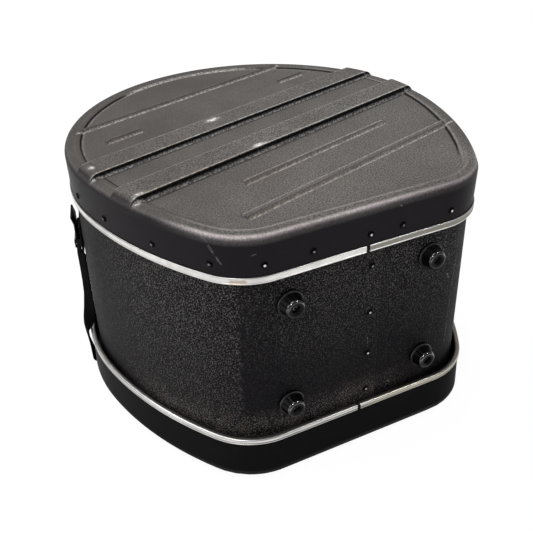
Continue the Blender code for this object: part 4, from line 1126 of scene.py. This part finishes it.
def strap_line(sign):
    """Middle line of one half of the web, as (out, z)."""
    low = STRAP_FLOOR_GAP + STRAP_T / 2
    outermost = reach_of(LID_TRIM_OFF, sign) + STRAP_TRIM_CLEAR + STRAP_T / 2
    at_wall = reach_of(0.0, sign) + WALL_OFF + STRAP_LIFT + STRAP_T / 2
    line = [(out, low) for out in np.linspace(0, outermost - STRAP_BEND_R - 0.003, 12)]
    line += [(outermost - STRAP_BEND_R * (1 - math.sin(a)), low + STRAP_BEND_R * (1 - math.cos(a)))
             for a in quarter(9)]
    start = LID_SKIRT_TOP_Z + 0.0023
    line += [(outermost, z) for z in (0.022, 0.034, 0.045, start - 0.001)]
    for t in np.linspace(0.04, 1, 12):
        ease = t * t * (3 - 2 * t)
        out = outermost + (at_wall - outermost) * (0.65 * t + 0.35 * ease)
        line.append((out, start + (BUCKLE_BOTTOM_Z - 0.004 - start) * t))
    return line + [(at_wall, z) for z in np.linspace(BUCKLE_BOTTOM_Z, STRAP_TOP_Z, 6)]


def fine_line(line, spacing):
    """The same line resampled at an even spacing."""
    line = np.array(line)
    travel = np.concatenate(([0], np.cumsum(np.linalg.norm(np.diff(line, axis=0), axis=1))))
    at = np.linspace(0, travel[-1], round(travel[-1] / spacing) + 1)
    return np.column_stack([np.interp(at, travel, line[:, k]) for k in range(2)]), at


left_line, right_line = strap_line(-1), strap_line(1)
line, run_at = fine_line([(-out, z) for out, z in left_line[:0:-1]] + right_line, STRAP_STEP)
direction = np.gradient(line, axis=0)
direction /= np.linalg.norm(direction, axis=1)[:, None]
normal = np.column_stack((-direction[:, 1], direction[:, 0]))
print("strap", round(run_at[-1], 3), "m long")

# %% How the left half hangs
AT_TRIM, AT_WALL = (round(reach_of(off, -1) - reach_of(0.0, -1) + gap + STRAP_T / 2, 5)
                    for off, gap in ((LID_TRIM_OFF, STRAP_TRIM_CLEAR), (0.0, WALL_OFF + STRAP_LIFT)))
SLACK_FRONT = (
    (0.0095, AT_TRIM), (0.0500, AT_TRIM), (0.0530, 0.0040), (0.0560, 0.0012), (0.0600, -0.0014),
    (0.0660, -0.0036), (0.0720, -0.0042), (0.1445, -0.0042), (0.1480, AT_WALL), (0.1580, AT_WALL),
)
SLACK_BACK = (
    (0.0095, AT_TRIM), (0.0180, 0.0078), (0.0320, 0.0105), (0.0450, 0.0113), (0.0550, 0.0104),
    (0.0660, 0.0084), (0.0830, 0.0060), (0.1000, 0.0053), (0.1200, 0.0052), (0.1340, 0.0054),
    (0.1440, 0.0046), (0.1500, 0.0026), (0.1580, AT_WALL),
)
SLACK_DRIFT = (
    (0.0095, 0.0), (0.0250, 0.0020), (0.0400, 0.0046), (0.0520, 0.0046), (0.0640, 0.0024),
    (0.1450, 0.0024), (0.1580, 0.0),
)


def slack_out(line, across):
    """How far out the slack left half lies: its front edge hugs the wall, its back edge stands off."""
    out, z = -line[:, 0], line[:, 1]
    base = reach_of(0.0, -1)
    front, back = (base + np.interp(z, *np.transpose(table)) for table in (SLACK_FRONT, SLACK_BACK))
    slack = front * (0.5 - across) + back * (0.5 + across)
    hangs = (z > SLACK_FRONT[0][0]) & (z < SLACK_FRONT[-1][0]) & (out > 0.5 * base)
    return np.where(hangs, slack - out, 0.0)


def slack_drift(line):
    """How far the slack left half has slipped towards the flat side."""
    out, z = -line[:, 0], line[:, 1]
    return np.where(out > 0, -np.interp(z, *np.transpose(SLACK_DRIFT)), 0.0)


print("slack between", SLACK_FRONT[0][0], "and", SLACK_FRONT[-1][0], "m up")

# %% Strap
FRAY, FRAY_NOISE, SELVEDGE_IN = 0.00022, 0.00009, 0.0004
rng = np.random.default_rng(4)
ragged = FRAY * np.sin(run_at / STRAP_STEP * math.pi)[:, None] + rng.normal(0, FRAY_NOISE, (len(line), 2))
upper_side = [(-0.5, 0.30), *((across, 0.5) for across in (-0.46, -0.2, 0.0, 0.2, 0.46)), (0.5, 0.30)]
section = upper_side + [(across, -lift) for across, lift in upper_side[::-1]]
rows = []
for across, lift in section:
    edge = np.sign(across) * (np.abs(across) > 0.4)
    offset = across * STRAP_W + edge * ragged[:, 0 if across < 0 else 1] - edge * SELVEDGE_IN
    at = line + normal * (lift * STRAP_T)
    plan = channel_middle + (at[:, :1] - slack_out(line, across)[:, None]) * strap_right
    plan = plan + (offset + slack_drift(line))[:, None] * strap_across
    rows.append(np.column_stack((plan, at[:, 1])))
points, faces = bar(rows)
add_piece("web_strap", points, faces, web, "lid", "strap", sharp=50)
print("strap of", len(points), "points")

# %% [markdown]
# ## Pressed and cast hardware
#
# The buckle plates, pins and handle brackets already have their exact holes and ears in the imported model.
# Real pressed steel has no razor edges, so each is copied, its triangles joined back into flat faces, and
# every hard edge is rounded by a fraction of a millimetre.


# %% Softened hardware
def softened(node, finish, body, width):
    """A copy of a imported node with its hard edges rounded."""
    shape = bmesh.new()
    shape.from_mesh(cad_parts[node].data)
    bmesh.ops.remove_doubles(shape, verts=shape.verts, dist=1e-5)
    bmesh.ops.dissolve_limit(shape, angle_limit=math.radians(1), verts=shape.verts, edges=shape.edges)
    hard = [e for e in shape.edges if len(e.link_faces) == 2 and e.calc_face_angle(0) > math.radians(40)]
    bmesh.ops.bevel(shape, geom=hard, offset=width, segments=2, profile=0.5, affect="EDGES",
                    clamp_overlap=True)
    mesh = bpy.data.meshes.new(node + "_softened")
    shape.to_mesh(mesh)
    shape.free()
    dress(mesh, finish, body, node, 35)


def hard_black(name, tone, rough, bright, chips):
    """A black coating over steel or plastic, with chips and handling marks."""
    coat = Finish(name, Specular_IOR_Level=0.10)
    marks = coat.ramp(coat.noise(240.0, 5.0, 0.7), 0.62, 0.74)
    coat.set("Base Color", coat.mix(marks * chips, tone, bright))
    coat.set("Roughness", rough + 0.18 * coat.noise(120.0, 3.0, 0.5))
    coat.set("Normal", coat.bump(coat.noise(800.0, 2.0, 0.5), 0.00008, 0.4))
    return coat


plate_black = hard_black("plate_black", (0.004, 0.004, 0.0045), 0.40, (0.10, 0.095, 0.09), 0.3)
lever_black = hard_black("lever_black", (0.003, 0.003, 0.0035), 0.40, (0.05, 0.05, 0.05), 0.2)
for side in ("left", "right"):
    softened(f"buckle_plate_{side}", plate_black, "shell", 0.0002)
    softened(f"buckle_pin_{side}", steel, "shell", 0.00015)
    softened(f"buckle_rivet_{side}", lacquer, "shell", 0.00015)
    softened(f"buckle_lever_{side}", lever_black, f"lever_{side}", 0.0003)
for end in ("lower", "upper"):
    softened(f"handle_bracket_{end}", plate_black, "shell", 0.0003)
softened("strap_rivet", lacquer, "lid", 0.0002)
print("softened hardware ready")

# %% [markdown]
# ## The carry handle
#
# The handle folds flat against the round back: a bent steel bail turns in two brackets and a moulded grip
# covers its middle. The bail is one tube along a bent line, and the grip is turned with shallow finger rings.

# %% Bail
HANDLE_Z, PIVOT_OUT, BAIL_R, BAIL_HALF, BAIL_REACH = 0.1345, 0.008, 0.003, 0.062, 0.034
EYE_L, SMALL_BEND, LARGE_BEND, BAIL_SIDES = 0.009, 0.0072, 0.012, 20
pivot = np.array((0.0, BACK_R + WALL_OFF + PIVOT_OUT, HANDLE_Z))
bend_z = EYE_L + FIT - BAIL_HALF + 0.002
arm_z = bend_z + SMALL_BEND
half = [(0.0, -BAIL_HALF), (0.0, -BAIL_HALF + 0.0055)]
half += [(SMALL_BEND * (1 - math.cos(a)), bend_z + SMALL_BEND * math.sin(a)) for a in quarter(10)]
half += [(BAIL_REACH - LARGE_BEND * (1 - math.sin(a)), arm_z + LARGE_BEND * (1 - math.cos(a)))
         for a in quarter(10)]
half += [(BAIL_REACH, -0.02), (BAIL_REACH, -0.008)]
bail = np.array(half + [(x, -z) for x, z in half[::-1]])
tangent = np.gradient(bail, axis=0)
tangent /= np.linalg.norm(tangent, axis=1)[:, None]
angles = np.linspace(0, 2 * math.pi, BAIL_SIDES, endpoint=False)
rings = [[pivot + (x - tz * math.cos(a) * BAIL_R, math.sin(a) * BAIL_R, z + tx * math.cos(a) * BAIL_R)
          for a in angles] for (x, z), (tx, tz) in zip(bail, tangent)]
points, faces = tube(rings)
bail_black = hard_black("bail_black", (0.012, 0.012, 0.012), 0.30, (0.24, 0.23, 0.22), 0.5)
add_piece("bail_bent", points, faces, bail_black, "handle", "handle_bail")
print("handle reaches", round(1000 * BAIL_REACH), "mm from its pivot")

# %% Grip
GRIP_R, GRIP_HALF, FINGER_PITCH, FINGER_DEPTH, FINGERS_HALF = 0.0075, 0.0275, 0.0078, 0.0009, 0.022
bore = BAIL_R + FIT


def grip_radius(z):
    """Radius of the grip: shallow rings for the fingers, and ends that draw in."""
    ring = (0.5 + 0.5 * math.cos(z / FINGER_PITCH * 2 * math.pi)) ** 2 * (abs(z) < FINGERS_HALF)
    return GRIP_R - 0.0010 * (abs(z) / GRIP_HALF) ** 6 - FINGER_DEPTH * ring


grip_end = [(bore, GRIP_HALF), (GRIP_R - 0.0022, GRIP_HALF), (GRIP_R - 0.0010, GRIP_HALF - 0.0004)]
grip_profile = [(r, -z) for r, z in grip_end]
grip_profile += [(grip_radius(z), z) for z in np.linspace(-GRIP_HALF + 0.0015, GRIP_HALF - 0.0015, 49)]
grip_profile += grip_end[::-1]
points, faces = turned(grip_profile, 32)
grip_black = hard_black("grip_black", (0.011, 0.011, 0.0115), 0.42, (0.06, 0.06, 0.06), 0.3)
add_piece("grip_moulded", points + pivot + (BAIL_REACH, 0, 0), faces, grip_black, "handle",
          "handle_grip")
print("grip", round(2000 * GRIP_HALF), "mm long")

# %% [markdown]
# ## Foam inside
#
# Soft grey foam lines the case: a pad in the cap, a pad in the lid and a strip round the wall. Cut foam has
# slightly rounded, uneven edges and a fine open texture, so the pads get rounded rims and a gentle
# unevenness.

# %% Foam finish
FOAM_DEEP, FOAM_GREY, FOAM_FADED = (0.020, 0.020, 0.022), (0.075, 0.075, 0.080), (0.10, 0.10, 0.105)
foam = Finish("open_foam", Roughness=0.95, Sheen_Weight=0.3)
pores = foam.cells(750.0, "F1")
foam_tone = foam.mix(foam.ramp(pores, 0.15, 0.6), FOAM_DEEP, FOAM_GREY)
foam.set("Base Color", foam.mix(foam.noise(40.0, 3.0, 0.6) * 0.3, foam_tone, FOAM_FADED))
foam.set("Normal", foam.bump(pores + 0.5 * foam.noise(1500.0, 2.0, 0.6), 0.0006, 0.8))
print("foam finish ready")

# %% Foam pads
PAD_DEPTH, PAD_CLEAR, FOAM_FILL = 0.0096, 0.0003, 0.9


def foam_slab(name, low, sides, body, node):
    """A slab of foam: rings of (off, z above low) from its lower face's middle to its upper face's middle."""
    rings = []
    for off, z in sides:
        plan, _ = d_outline(off, spacing=0.006)
        wobble = 0.0003 * np.sin(plan[:, 0] * 71 + 1.3) * np.cos(plan[:, 1] * 83)
        rings.append(np.column_stack((plan, low + z + wobble)))
    points, faces = tube(rings)
    add_piece(name, points, faces, foam, body, node, sharp=60)


lid_pad_low = LID_RIM_Z + PANEL_DROP + SKIN_T + FIT + PAD_CLEAR
lid_pad_sides = [
    (-0.0490, 0.0), (-0.0075, 0.0), (-0.0060, 0.0003), (-0.0022, 0.0036), (-0.0012, 0.0052),
    (-0.0012, 0.0078), (-0.0022, 0.0090), (-0.0060, 0.0092), (-0.0490, 0.0093), (-0.1200, 0.0093),
]
foam_slab("lid_pad_foam", lid_pad_low, lid_pad_sides, "lid", "lid_pad")
cap_pad_low = CAP_RIM_Z - PANEL_DROP - SKIN_T - FIT - PAD_DEPTH
cap_pad_sides = [
    (-0.1200, 0.0), (-0.0500, 0.0), (-0.0170, 0.0001), (-0.0147, 0.0011), (-0.0137, 0.0033),
    (-0.0137, 0.0063), (-0.0149, 0.0087), (-0.0175, 0.0093), (-0.0500, 0.0093),
]
foam_slab("end_cap_pad_foam", cap_pad_low, cap_pad_sides, "shell", "end_cap_pad")
print("pads", round(1000 * PAD_DEPTH, 1), "mm deep")

# %% Wall lining
LINING_T, LINING_TOP_Z = 0.005, 0.2430
lining_out = WALL_OFF - 2 * WALL_T - FIT
lining_in = lining_out - LINING_T
lining = [(lining_out, WALL_BOTTOM_Z + 0.0008), (lining_out, LINING_TOP_Z - 0.0008)]
lining += [(lining_out - 0.0012, LINING_TOP_Z), (lining_in + 0.0012, LINING_TOP_Z)]
lining += [(lining_in, LINING_TOP_Z - 0.0008)]
lining += [(lining_in - 0.0002 * math.sin(k), z) for k, z in enumerate(np.linspace(0.232, 0.032, 14))]
lining += [(lining_in, WALL_BOTTOM_Z + 0.0010), (lining_in + 0.0012, WALL_BOTTOM_Z)]
lining += [(lining_out - 0.0010, WALL_BOTTOM_Z)]
points, faces = skin([raised(d_outline(off, WALL_CORNER_R, 0.006)[0], z) for off, z in lining], around=True)
lining_piece = add_piece("wall_lining_foam", points, faces, foam, "shell", "wall_lining",
                         sharp=60)
print("lining", 1000 * LINING_T, "mm thick")

# %% [markdown]
# ## Room and light
#
# The case stands on a plain pale floor under soft studio light: a wide overhead panel, a weak panel on the
# left and two small lamps towards the corners of the flat side. The white of the background belongs to the
# floor and the world as the camera sees them, so the lamps can stay at a plain level.


# %% Lamps
def light_panel(name, at, aim_z, size, watts):
    """A soft rectangular lamp aimed at a height on the case's axis."""
    lamp = bpy.data.lights.new(name, "AREA")
    lamp.shape, lamp.size, lamp.size_y, lamp.energy = "RECTANGLE", *size, watts
    holder = bpy.data.objects.new(name, lamp)
    holder.location = at
    holder.rotation_euler = (Vector((0, 0, aim_z)) - Vector(at)).to_track_quat("-Z", "Y").to_euler()
    bpy.context.collection.objects.link(holder)


light_panel("overhead", (-0.3, 0.6, 1.9), 0.1, (1.8, 1.4), 31)
light_panel("side", (-1.8, 0.0, 0.9), 0.15, (0.9, 0.9), 4)
light_panel("left_lamp", (-1.05, -1.05, 1.65), 0.15, (0.28, 0.24), 8)
light_panel("right_lamp", (0.95, -0.95, 1.75), 0.15, (0.26, 0.20), 6)
print("four lamps")

# %% Floor
FLOOR_HALF, FLOOR_GLOW, SEEN_SHARE, GLOSS_SHARE = 4.0, 1.1, 0.86, 0.5
floor_mesh = bpy.data.meshes.new("floor")
shape = bmesh.new()
bmesh.ops.create_grid(shape, x_segments=8, y_segments=8, size=FLOOR_HALF)
shape.to_mesh(floor_mesh)
shape.free()
floor = bpy.data.objects.new("floor", floor_mesh)
bpy.context.collection.objects.link(floor)
pale = Finish("pale_floor", Roughness=0.9)
pale.set("Base Color", (0.80, 0.80, 0.80))
glow = pale.node("ShaderNodeEmission", None, {"Color": (1, 1, 1), "Strength": FLOOR_GLOW})
in_gloss = pale.node("ShaderNodeLightPath", out="Is Glossy Ray") * GLOSS_SHARE
seen = pale.node("ShaderNodeLightPath", out="Is Camera Ray").over(in_gloss)
surface = Wire(pale, pale.shader.outputs[0])
shown = pale.node("ShaderNodeMixShader", None, {0: seen * SEEN_SHARE, 1: surface, 2: glow})
pale.feed(pale.tree.nodes["Material Output"].inputs["Surface"], shown)
floor_mesh.materials.append(pale.material)
print("floor", 2 * FLOOR_HALF, "m wide")

# %% World
WORLD_GLOW = 0.16
world = bpy.data.worlds.new("room")
bpy.context.scene.world = world
world.use_nodes = True
nodes, links = world.node_tree.nodes, world.node_tree.links
backdrop = nodes["Background"]
backdrop.inputs["Color"].default_value = (1, 1, 1, 1)
path = nodes.new("ShaderNodeLightPath")
strength = nodes.new("ShaderNodeMapRange")
strength.inputs["To Min"].default_value = WORLD_GLOW
strength.inputs["To Max"].default_value = 1.0
links.new(path.outputs["Is Camera Ray"], strength.inputs["Value"])
links.new(strength.outputs[0], backdrop.inputs["Strength"])
bpy.context.scene.view_settings.view_transform = "Standard"
print("room ready")
